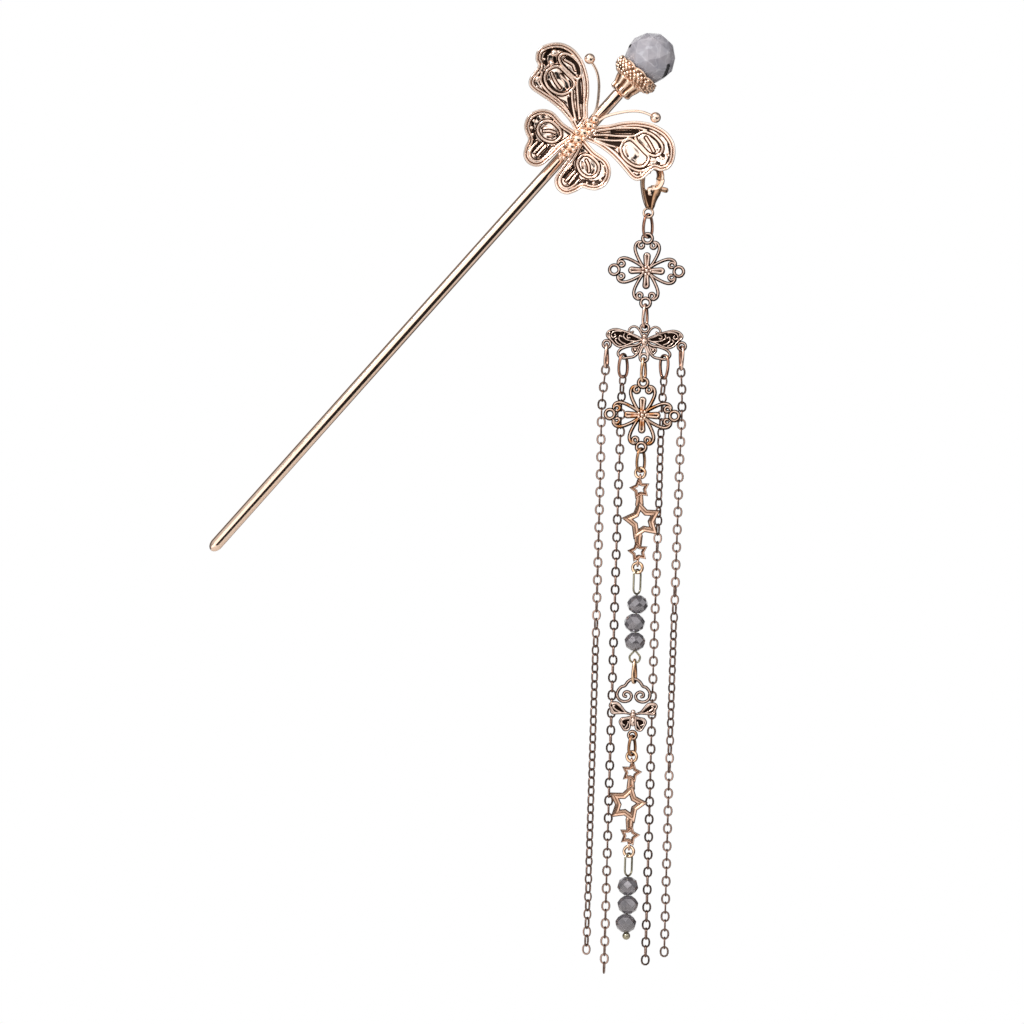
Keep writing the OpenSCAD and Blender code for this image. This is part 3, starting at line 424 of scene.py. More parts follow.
def wire_ring(radius: float, wire: float, middle: np.ndarray, turn: float = 0.0) -> Shape:
    """A round wire bent to an upright ring, turned about Z by an angle in degrees from facing the viewer."""
    ring = swept(flat_path(circle((0, 0), radius)), circle_profile(wire / 2, 12), closed=True)
    return ring.moved(spin(math.radians(turn)), middle)


def relief_plate(outline: np.ndarray, hub: np.ndarray, lines: list[tuple[np.ndarray, float]], ground: float,
                 rise: float, back: float, rim: float = 0.26) -> Shape:
    """A cast plate with raised lines: rings run from its hub to its outline, in front and behind.

    At distance d from a line of half width h the front stands proud by rise * (1 - (d / h)^2)^0.5, as a
    round wire does, and the outline has such a line too, just inside its edge.

    Args:
        outline: The closed outline in X and Z.
        hub: A place that every point of the outline is seen from.
        lines: The raised lines, each with its half width.
        ground: Depth of the ground between them, in Y.
        rise: Height of the lines over the ground.
        back: Depth of the back.
        rim: Half width of the outline's own line.

    Returns:
        The plate.
    """
    share = np.concatenate([np.linspace(0.03, 0.86, 30), np.linspace(0.88, 1.0, 9)])[:, None, None]
    front = hub + (outline - hub)[None] * share
    flat = front.reshape(-1, 2)
    edge = line_distance(flat, outline, closed=True)
    height = round_line(edge - rim, rim, 1.0)
    for line, half in lines:
        height = np.maximum(height, round_line(line_distance(flat, line), half, 1.0))
    height, edge = height.reshape(front.shape[:2]), edge.reshape(front.shape[:2])
    behind = hub + (outline - hub)[None] * np.array([1.0, 0.9, 0.5, 0.04])[:, None, None]
    depth = np.array([0.6 * back, back, back, back])[:, None]
    rings = np.concatenate([
        np.stack([front[..., 0], ground - rise * height, front[..., 1]], axis=2),
        np.stack([behind[..., 0], np.broadcast_to(depth, behind.shape[:2]), behind[..., 1]], axis=2)])
    # Painted shade darkens the ground beside the lines and the outermost edge; the back has a little.
    painted_shade = np.maximum(1 - smooth(height, 0.7, 0.985), 1 - smooth(edge, 0.08, 0.26))
    painted_shade = np.concatenate([painted_shade, np.full(behind.shape[:2], 0.3)])
    return skin(rings, painted_shade=painted_shade)


# Materials


def linear(code: str) -> tuple[float, float, float, float]:
    """A hex colour as the screen shows it, turned to linear light."""
    parts = [int(code[k : k + 2], 16) / 255 for k in (1, 3, 5)]
    return (*(c / 12.92 if c <= 0.04045 else ((c + 0.055) / 1.055) ** 2.4 for c in parts), 1.0)


def add(tree: bpy.types.NodeTree, kind: str, sockets: dict[str, object] | None = None,
        **settings: object) -> bpy.types.Node:
    """Adds one node with its settings, and gives each named socket its value or its link.

    Args:
        tree: The node tree.
        kind: Type of the node.
        sockets: Value or source socket for each input, by its identifier or name.
        settings: Attributes of the node.

    Returns:
        The node.
    """
    node = tree.nodes.new(kind)
    for name, value in settings.items():
        setattr(node, name, value)
    named = {s.name: s for s in reversed(node.inputs)} | {s.identifier: s for s in node.inputs}
    for name, value in (sockets or {}).items():
        if isinstance(value, bpy.types.NodeSocket):
            tree.links.new(value, named[name])
        else:
            named[name].default_value = value
    return node


def new_material(name: str) -> tuple[bpy.types.Material, bpy.types.NodeTree]:
    """An empty material and its node tree."""
    material = bpy.data.materials.new(name)
    material.use_nodes = True
    material.node_tree.nodes.clear()
    return material, material.node_tree


# The types of node that come up most, and which output of a Mix node holds its colour.
NOISE, RAMP, MIX, MATHS = "ShaderNodeTexNoise", "ShaderNodeMapRange", "ShaderNodeMix", "ShaderNodeMath"
MIXED = 2


@dataclass(frozen=True)
class MetalFinish:
    """A plated casting or wire: polished on the high places, with shade painted on the slopes and in the
    recesses.

    The plate drifts between colour and warm. Roughness rises by spread over the grain, whose size is in mm,
    and relief is the strength of its bump. Dark is how far the darkest painted shade goes, and the last two
    fields give how far painted reflection spots show and their colour.
    """

    name: str
    colour: str
    warm: str
    slope_shade: str
    shade_colour: str
    roughness: float
    spread: float
    grain: float
    relief: float
    dark: float = 0.8
    painted_reflection_spots: float = 0.0
    reflection_spot_colour: str = "#8a5640"

    def material(self) -> bpy.types.Material:
        """Builds the finish: the colour drifts, and the painted shade attribute brings in slope and dark
        shade.

        Returns:
            The material.
        """
        material, tree = new_material(self.name)
        place = add(tree, "ShaderNodeTexCoord").outputs["Object"]
        painted_shade = add(tree, "ShaderNodeAttribute", attribute_name="painted_shade").outputs["Fac"]
        # Thickness of the plating drifts over some 5 mm.
        drift = add(tree, NOISE, {"Vector": place, "Scale": 1 / (5 * MM), "Detail": 2.0}).outputs["Fac"]
        # The real polishing lines are finer than a pixel, so the grain is drawn at the size given, in mm.
        grain = add(tree, NOISE, {"Vector": place, "Scale": 1 / (self.grain * MM), "Detail": 3.0})
        grain = grain.outputs["Fac"]
        colour = add(tree, MIX, {
            "Factor_Float": drift, "A_Color": linear(self.colour), "B_Color": linear(self.warm),
        }, data_type="RGBA").outputs[MIXED]
        # Painted shade from the upper slopes down, painted reflection spots, and the darkest shade over
        # both.
        slope_shaded = add(tree, RAMP, {
            "Value": painted_shade, "From Min": 0.12, "From Max": 0.5, "To Max": 0.85,
        }, interpolation_type="SMOOTHSTEP").outputs["Result"]
        layers = [(slope_shaded, self.slope_shade)]
        if self.painted_reflection_spots:
            # Painted reflection spots of some 2 mm: warm glints or darker spots in the spot colour.
            reflection_spot = add(tree, NOISE, {"Vector": place, "Scale": 1 / (2 * MM), "Detail": 1.0}).outputs["Fac"]
            reflection_spot = add(tree, RAMP, {
                "Value": reflection_spot, "From Min": 0.57, "From Max": 0.65, "To Max": self.painted_reflection_spots}).outputs["Result"]
            layers.append((reflection_spot, self.reflection_spot_colour))
        dark = add(tree, RAMP, {
            "Value": painted_shade, "From Min": 0.45, "From Max": 0.9, "To Max": self.dark,
        }, interpolation_type="SMOOTHSTEP").outputs["Result"]
        layers.append((dark, self.shade_colour))
        for share, tone in layers:
            colour = add(tree, MIX, {
                "Factor_Float": share, "A_Color": colour, "B_Color": linear(tone)},
                data_type="RGBA").outputs[MIXED]
        sheen = add(tree, RAMP, {
            "Value": grain, "From Min": 0.3, "From Max": 0.7, "To Min": self.roughness,
            "To Max": self.roughness + self.spread}).outputs["Result"]
        dull = add(tree, MATHS, {"Value": dark, "Value_001": 0.25}, operation="MULTIPLY").outputs["Value"]
        rough = add(tree, MATHS, {"Value": sheen, "Value_001": dull}, operation="ADD").outputs["Value"]
        bump = add(tree, "ShaderNodeBump", {"Height": grain, "Strength": self.relief, "Distance": 0.02 * MM})
        shader = add(tree, "ShaderNodeBsdfPrincipled", {
            "Base Color": colour, "Metallic": 1.0, "Roughness": rough, "Normal": bump.outputs["Normal"]})
        add(tree, "ShaderNodeOutputMaterial", {"Surface": shader.outputs["BSDF"]})
        return material


@dataclass(frozen=True)
class GlassFinish:
    """Cut and polished glass: flat facets with a hard gloss, a lustre coat, a body colour, and haze inside.

    The body clouds from colour to cloudy. Clear, gloss, milky and lustre are the weights of transmission,
    coat, scattering and mirror lustre, and veins is how far a pale vein shows.
    """

    name: str
    colour: str
    cloudy: str
    clear: float
    roughness: float
    ior: float
    gloss: float = 1.0
    milky: float = 0.0
    veins: float = 0.0
    lustre: float = 0.0
    # Colour of the facet corners painted black as dark reflections.
    shade: str = "#0c0b0e"
    vein: str = "#eeeef4"

    def material(self) -> bpy.types.Material:
        """Builds the finish: the body colour clouds over, with pale veins and facet corners
        painted black as dark reflections.

        Returns:
            The material.
        """
        material, tree = new_material(self.name)
        place = add(tree, "ShaderNodeTexCoord").outputs["Object"]
        cloud = add(tree, NOISE, {"Vector": place, "Scale": 1 / (2.5 * MM), "Detail": 2.0}).outputs["Fac"]
        spread = add(tree, RAMP, {"Value": cloud, "From Min": 0.35, "From Max": 0.65}).outputs["Result"]
        colour = add(tree, MIX, {
            "Factor_Float": spread, "A_Color": linear(self.colour), "B_Color": linear(self.cloudy),
        }, data_type="RGBA").outputs[MIXED]
        if self.veins:
            # Veins run where a noise of some 3 mm crosses its middle value.
            vein = add(tree, NOISE, {"Vector": place, "Scale": 1 / (3 * MM), "Detail": 1.0}).outputs["Fac"]
            off = add(tree, MATHS, {"Value": vein, "Value_001": 0.5}, operation="SUBTRACT").outputs["Value"]
            off = add(tree, MATHS, {"Value": off}, operation="ABSOLUTE").outputs["Value"]
            line = add(tree, RAMP, {
                "Value": off, "From Max": 0.025, "To Min": self.veins, "To Max": 0.0}).outputs["Result"]
            # Facet corners marked with full painted shade are painted black as dark reflections, sharply
            # bounded.
            painted_shade = add(tree, "ShaderNodeAttribute", attribute_name="painted_shade").outputs["Fac"]
            black = add(tree, RAMP, {
                "Value": painted_shade, "From Min": 0.74, "From Max": 0.8}).outputs["Result"]
            for share, tone in ((line, self.vein), (black, self.shade)):
                colour = add(tree, MIX, {
                    "Factor_Float": share, "A_Color": colour, "B_Color": linear(tone)},
                    data_type="RGBA").outputs[MIXED]
        shader = add(tree, "ShaderNodeBsdfPrincipled", {
            "Base Color": colour, "Roughness": self.roughness, "IOR": self.ior,
            "Transmission Weight": self.clear, "Metallic": self.lustre,
            "Coat Weight": self.gloss, "Coat Roughness": 0.03,
            "Subsurface Weight": self.milky, "Subsurface Radius": (1.0, 1.0, 1.0),
            "Subsurface Scale": 2.5 * MM,
        })
        add(tree, "ShaderNodeOutputMaterial", {"Surface": shader.outputs["BSDF"]})
        return material


@dataclass
class Finishes:
    """The hairpin's finishes, each made once."""

    # Copper-rich electroplate, machine polished: near white highlights, tan-rose in between.
    polished_rose: MetalFinish = MetalFinish(
        "polished_rose_gold_plate", "#f6dccb", "#efccb2", "#c89a74", "#4a3026",
        0.08, 0.05, 0.8, 0.10)
    # The same plate on castings, tumbled, with painted shade that darkens the recesses.
    cast_rose: MetalFinish = MetalFinish(
        "rose_gold_casting_painted_shade", "#fae8dc", "#ecd0be", "#b18e7a", "#1a0e0a",
        0.08, 0.08, 0.35, 0.3, 0.96)
    # The same plate on fine filigree, with much painted shade and painted reflection spots.
    filigree: MetalFinish = MetalFinish(
        "rose_gold_filigree_painted_shade", "#f4ded1", "#d2b09d", "#85604d", "#160b08",
        0.09, 0.10, 0.3, 0.3, 0.97, 0.4, "#86604e")
    # Filigree with a yellower, brighter plate, painted shade, and painted amber glints in places.
    filigree_gold: MetalFinish = MetalFinish(
        "pale_gold_filigree_painted_shade_glints", "#f4dccb", "#d6b095", "#966642", "#1a0d08",
        0.08, 0.08, 0.3, 0.3, 0.97, 0.75, "#c87a2c")
    # Machine-made cable chain: thin plate over brass, worn to a greyish rose, with painted shade on link
    # sides.
    chain: MetalFinish = MetalFinish(
        "worn_rose_gold_plate", "#d4b8ab", "#bfa599", "#957769", "#221510",
        0.16, 0.12, 0.4, 0.2, 0.9)
    # Bent round wire of the jump rings: painted shade, brown inside the ring, and painted reflection spots.
    ring: MetalFinish = MetalFinish(
        "rose_gold_ring_wire", "#f0d4c4", "#d8ae98", "#a06a50", "#20100c",
        0.08, 0.08, 0.4, 0.2, 0.95, 0.45, "#7c4c3a")
    # Die-cast clasp, barrel polished: tan and a little soft.
    clasp: MetalFinish = MetalFinish(
        "barrel_polished_rose_gold_plate", "#f2dac8", "#dcb9a0", "#a8784e", "#22120c",
        0.12, 0.1, 0.5, 0.2, 0.96)
    # Stamped crown and cone: pale plate with a thin warm painted shade.
    crown: MetalFinish = MetalFinish(
        "stamped_pale_rose_plate", "#fae2d0", "#eabf9e", "#c8906a", "#4a2c1c",
        0.2, 0.12, 0.4, 0.3, 0.85)
    # Yellower plate on the small rings, with painted shade and painted amber reflection spots.
    pale_gold: MetalFinish = MetalFinish(
        "pale_gold_plate", "#f4d8bc", "#dcb088", "#a4704a", "#26130a",
        0.10, 0.10, 0.4, 0.3, 0.95, 0.5, "#a8682c")
    # Tumbled satin plate on the star charms: broad soft highlights.
    satin: MetalFinish = MetalFinish(
        "satin_rose_gold_plate", "#dab9a4", "#b98f75", "#8e623f", "#2c1d13",
        0.22, 0.10, 0.25, 0.3, 0.9)
    # Drawn steel wire under thin plate: greyer, olive.
    wire: MetalFinish = MetalFinish(
        "drawn_wire", "#b4ad98", "#948d72", "#5f5a48", "#1e1c16",
        0.16, 0.1, 0.3, 0.2)
    # Pressed and cut grey glass with a thin mirror lustre: dark at its hole, light on its facets.
    smoke: GlassFinish = GlassFinish("smoky_cut_glass", "#7d797d", "#979196", 0.45, 0.06, 1.52, lustre=0.4)
    # Milky grey crystal that light only scatters through, with pale veins, and a few facet corners painted
    # black as dark reflections.
    crystal: GlassFinish = GlassFinish(
        "milky_cut_crystal", "#b0abb0", "#9e9ba2", 0.0, 0.2, 1.54,
        gloss=0.3, milky=1.0, veins=0.22, lustre=0.07)
    # The materials built so far, by name.
    made: dict[str, bpy.types.Material] = field(default_factory=dict)

    def of(self, finish: MetalFinish | GlassFinish) -> bpy.types.Material:
        """The material of a finish, built on its first use."""
        if finish.name not in self.made:
            self.made[finish.name] = finish.material()
        return self.made[finish.name]


@dataclass
class Workshop:
    """Turns shapes into pieces: names them, dresses them and fixes them to their bodies."""

    finishes: Finishes = field(default_factory=Finishes)

    def piece(self, name: str, shape: Shape, finish: MetalFinish | GlassFinish, body: Body, slot: str,
              replaces: tuple[str, ...] = (), crease: float = 35.0) -> bpy.types.Object:
        """Makes one finished piece at the origin, with its place in its mesh.

        Args:
            name: Name of the piece.
            shape: Its shape in millimetres.
            finish: Its finish.
            body: The body that it rides on.
            slot: The record's material slot; not used.
            replaces: CAD nodes that it stands for.
            crease: Angle in degrees past which an edge shows; nought for flat facets.

        Returns:
            The object.
        """
        mesh = shape.mesh(name)
        # The share of painted shade of each point goes on the mesh, where the material reads it.
        depth = mesh.attributes.new("painted_shade", "FLOAT", "POINT")
        depth.data.foreach_set("value", shape.painted_shade.astype(np.float32))
        if crease:
            mesh.shade_smooth()
            mesh.set_sharp_from_angle(angle=math.radians(crease))
        mesh.materials.append(self.finishes.of(finish))
        piece = bpy.data.objects.new(name, mesh)
        bpy.context.scene.collection.objects.link(piece)
        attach(piece, body.value)
        if replaces:
            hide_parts(*replaces)
        LOG.info("%s: %d faces", name, len(mesh.polygons))
        return piece

    def dress(self, node: bpy.types.Object, finish: MetalFinish | GlassFinish) -> None:
        """Gives a CAD node its finish."""
        node.data.materials.clear()
        node.data.materials.append(self.finishes.of(finish))


def node_box(node: str) -> tuple[np.ndarray, np.ndarray]:
    """Lowest and highest corner of a CAD node in millimetres."""
    low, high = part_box(node)
    return np.array(low) / MM, np.array(high) / MM


def node_middle(node: str) -> np.ndarray:
    """Middle of a CAD node's box in millimetres."""
    low, high = node_box(node)
    return (low + high) / 2


def on_stick(shape: Shape, along: float) -> Shape:
    """Places a shape along the stick: its Z then runs up the stick, its X across it to the lower right."""
    return shape.moved(offset=(0, 0, along)).moved(spin(LEAN, "y"))


# Sub-assemblies


@dataclass
class HairStick:
    """The plain rod with its rounded tip."""

    diameter: float = 2.5
    shoulder: float = 70.2
    chamfer: float = 0.2
    # Distance from the tip to where hair holds the stick.
    hold: float = 52.3
    tip: float = 1.8
    peg: float = 1.4
    peg_top: float = 81.17

    def build(self, shop: Workshop) -> None:
        """Makes the rod: a profile of tip, rod, chamfer and peg turned about the stick."""
        r = self.diameter / 2
        bow = np.radians(np.linspace(4, 90, 14))
        tip = np.stack([r * np.sin(bow), -self.hold + self.tip * (1 - np.cos(bow))], axis=1)
        heights = np.linspace(-self.hold + self.tip + 1, self.shoulder - 0.25, 60)
        rod = np.stack([np.full(60, r), heights], axis=1)
        peg = self.peg / 2
        head = np.array([
            [r - self.chamfer, self.shoulder], [peg, self.shoulder + 0.02], [peg, self.peg_top]])
        shape = revolved(np.vstack([tip, rod, head]), 48)
        shop.piece("hair_rod", on_stick(shape, 0), shop.finishes.polished_rose, Body.HAIRPIN, "rose_gold",
                   ("stick",))


Line = list[list[float]]


@dataclass
class Wing:
    """One wing of the cast butterfly, drawn in shares of its two reaches from the butterfly's middle.

    A cell is a walled field, a ridge a raised line, a pit a hollow line, painted dark as shade, with its
    half width in mm, and a granule a ball with the radius it is drawn with.
    """

    outline: np.ndarray
    middle: np.ndarray
    reach: np.ndarray
    cells: list[Line]
    ridges: list[Line]
    pits: list[tuple[Line, float]]
    granules: np.ndarray


FORE_OUTLINE = np.array([
    [0.06, 0.24], [0.16, 0.43], [0.25, 0.62], [0.36, 0.79], [0.49, 0.92], [0.60, 0.98], [0.72, 1.00],
    [0.84, 0.95], [0.93, 0.84], [0.99, 0.69], [1.00, 0.54], [0.95, 0.42], [0.885, 0.37], [0.87, 0.24],
    [0.86, 0.11], [0.82, 0.02], [0.75, -0.01], [0.65, 0.01], [0.51, 0.04], [0.37, 0.05], [0.20, 0.02],
    [0.06, -0.03]])
FORE_MIDDLE, FORE_REACH = np.array([0.56, 0.50]), np.array([17.6, 11.5])
# Small granules in the channel along the forewing's lower edge.
LOWER_ROW = [[0.30, 0.073, 0.3], [0.36, 0.085, 0.3], [0.42, 0.09, 0.32], [0.48, 0.085, 0.34],
             [0.54, 0.08, 0.36], [0.60, 0.082, 0.38], [0.665, 0.085, 0.4], [0.735, 0.09, 0.42]]
FOREWING_RIGHT = Wing(
    outline=FORE_OUTLINE, middle=FORE_MIDDLE, reach=FORE_REACH,
    cells=[
        [[0.47, 0.585], [0.48, 0.665], [0.51, 0.745], [0.573, 0.79], [0.66, 0.805], [0.745, 0.785],
         [0.795, 0.73], [0.812, 0.65], [0.79, 0.57], [0.742, 0.52], [0.69, 0.51], [0.607, 0.525],
         [0.526, 0.535]],
        [[0.455, 0.50], [0.55, 0.505], [0.65, 0.49], [0.735, 0.475], [0.768, 0.38], [0.755, 0.27],
         [0.69, 0.195], [0.60, 0.17], [0.51, 0.185], [0.44, 0.25], [0.41, 0.36], [0.42, 0.45]],
    ],
    ridges=[
        [[0.093, 0.191], [0.171, 0.34], [0.262, 0.49], [0.36, 0.63], [0.44, 0.73], [0.52, 0.79]],
        [[0.115, 0.135], [0.216, 0.272], [0.306, 0.373], [0.386, 0.475], [0.445, 0.56], [0.484, 0.66]],
        [[0.151, 0.094], [0.25, 0.20], [0.33, 0.295], [0.40, 0.40], [0.45, 0.50]],
        [[0.16, 0.065], [0.24, 0.10], [0.34, 0.13], [0.43, 0.14], [0.52, 0.125], [0.61, 0.115],
         [0.71, 0.14], [0.785, 0.21], [0.82, 0.32]],
        [[0.57, 0.69], [0.66, 0.65], [0.74, 0.60]],
        [[0.20, 0.10], [0.30, 0.16], [0.38, 0.22]],
    ],
    pits=[
        ([[0.20, 0.43], [0.30, 0.60], [0.40, 0.745], [0.48, 0.83]], 0.32),
        ([[0.24, 0.375], [0.33, 0.495], [0.41, 0.61], [0.45, 0.67]], 0.28),
        ([[0.26, 0.26], [0.34, 0.36], [0.42, 0.47]], 0.2),
        ([[0.24, 0.145], [0.32, 0.22], [0.385, 0.29]], 0.5),
        ([[0.47, 0.36], [0.50, 0.29], [0.56, 0.24]], 0.16),
        ([[0.81, 0.86], [0.90, 0.75], [0.935, 0.62]], 0.2),
        ([[0.85, 0.66], [0.87, 0.62]], 0.32),
        ([[0.855, 0.50], [0.875, 0.50]], 0.26),
        ([[0.795, 0.12], [0.83, 0.22], [0.845, 0.33]], 0.3),
        ([[0.60, 0.76], [0.70, 0.765], [0.76, 0.72]], 0.14),
    ],
    granules=np.array([[0.82, 0.425, 1.0], [0.87, 0.60, 0.7], [0.385, 0.735, 0.4], [0.80, 0.165, 0.55],
                       [0.90, 0.72, 0.45], *LOWER_ROW]),
)
FOREWING_LEFT = Wing(
    outline=FORE_OUTLINE, middle=FORE_MIDDLE, reach=FORE_REACH,
    cells=[
        [[0.755, 0.83], [0.66, 0.885], [0.55, 0.87], [0.475, 0.80], [0.445, 0.71], [0.465, 0.65],
         [0.575, 0.645], [0.70, 0.66], [0.77, 0.73]],
        [[0.71, 0.60], [0.59, 0.605], [0.465, 0.59], [0.42, 0.50], [0.43, 0.38], [0.475, 0.27],
         [0.563, 0.215], [0.66, 0.225], [0.745, 0.31], [0.768, 0.46]],
    ],
    ridges=[
        [[0.10, 0.23], [0.19, 0.385], [0.28, 0.54], [0.365, 0.67], [0.45, 0.78], [0.53, 0.87]],
        [[0.13, 0.16], [0.235, 0.31], [0.32, 0.44], [0.40, 0.56], [0.45, 0.66]],
        [[0.16, 0.11], [0.27, 0.235], [0.36, 0.36], [0.42, 0.47]],
        [[0.17, 0.07], [0.26, 0.12], [0.36, 0.16], [0.46, 0.165], [0.56, 0.15], [0.66, 0.16], [0.75, 0.21],
         [0.80, 0.33]],
        [[0.71, 0.43], [0.62, 0.37], [0.53, 0.34]],
        [[0.70, 0.76], [0.60, 0.79], [0.54, 0.75]],
    ],
    pits=[
        ([[0.50, 0.86], [0.58, 0.915], [0.68, 0.925], [0.77, 0.895], [0.84, 0.84], [0.885, 0.74],
          [0.90, 0.64], [0.88, 0.55], [0.83, 0.49]], 0.42),
        ([[0.71, 0.80], [0.63, 0.84], [0.54, 0.81], [0.485, 0.73]], 0.22),
        ([[0.72, 0.695], [0.60, 0.678], [0.50, 0.68]], 0.18),
        ([[0.62, 0.53], [0.53, 0.49], [0.48, 0.44]], 0.42),
        ([[0.68, 0.30], [0.58, 0.26], [0.49, 0.29], [0.44, 0.36]], 0.2),
        ([[0.24, 0.165], [0.31, 0.235], [0.37, 0.31]], 0.42),
        ([[0.24, 0.39], [0.33, 0.52], [0.42, 0.65]], 0.22),
        ([[0.77, 0.62], [0.80, 0.66]], 0.35),
    ],
    granules=np.array([[0.845, 0.725, 1.25], [0.79, 0.56, 0.85], [0.79, 0.20, 1.0], [0.88, 0.53, 0.45],
                       [0.70, 0.14, 0.55], *LOWER_ROW]),
)
HINDWING = Wing(
    outline=np.array([
        [0.08, -0.05], [0.40, -0.07], [0.68, -0.05], [0.86, -0.12], [0.97, -0.25], [1.00, -0.41],
        [0.93, -0.56], [0.81, -0.64], [0.70, -0.69], [0.65, -0.82], [0.56, -0.95], [0.41, -1.00],
        [0.26, -0.96], [0.17, -0.86], [0.13, -0.66], [0.11, -0.43], [0.07, -0.22]]),
    middle=np.array([0.53, -0.42]),
    reach=np.array([10.4, 11.6]),
    cells=[
        [[0.27, -0.29], [0.33, -0.21], [0.446, -0.185], [0.61, -0.195], [0.705, -0.275], [0.725, -0.38],
         [0.66, -0.475], [0.54, -0.51], [0.42, -0.495], [0.30, -0.42]],
    ],
    ridges=[
        [[0.14, -0.20], [0.19, -0.36], [0.215, -0.50]],
        [[0.40, -0.29], [0.50, -0.33], [0.58, -0.40]],
        [[0.24, -0.50], [0.235, -0.68], [0.26, -0.82], [0.33, -0.885], [0.42, -0.895], [0.50, -0.85],
         [0.54, -0.74], [0.54, -0.62]],
        [[0.375, -0.56], [0.37, -0.78]],
        [[0.44, -0.56], [0.45, -0.78]],
    ],
    pits=[
        ([[0.88, -0.32], [0.83, -0.44], [0.72, -0.53], [0.62, -0.60], [0.60, -0.74], [0.54, -0.84]], 0.3),
        ([[0.63, -0.60], [0.69, -0.57]], 0.5),
        ([[0.305, -0.52], [0.30, -0.76]], 0.24),
        ([[0.41, -0.60], [0.41, -0.76]], 0.12),
        ([[0.49, -0.58], [0.50, -0.74]], 0.16),
        ([[0.17, -0.54], [0.17, -0.80]], 0.2),
        ([[0.62, -0.33], [0.64, -0.38]], 0.28),
        ([[0.36, -0.35], [0.45, -0.43]], 0.2),
        ([[0.20, -0.16], [0.45, -0.135], [0.66, -0.13]], 0.14),
    ],
    granules=np.array([
        [0.57, -0.135, 0.42], [0.73, -0.165, 0.5], [0.82, -0.255, 0.6], [0.855, -0.38, 0.6],
        [0.80, -0.50, 0.62], [0.70, -0.57, 0.45], [0.60, -0.76, 0.42], [0.54, -0.87, 0.4],
        [0.22, -0.88, 0.4], [0.36, -0.925, 0.3]]),
)


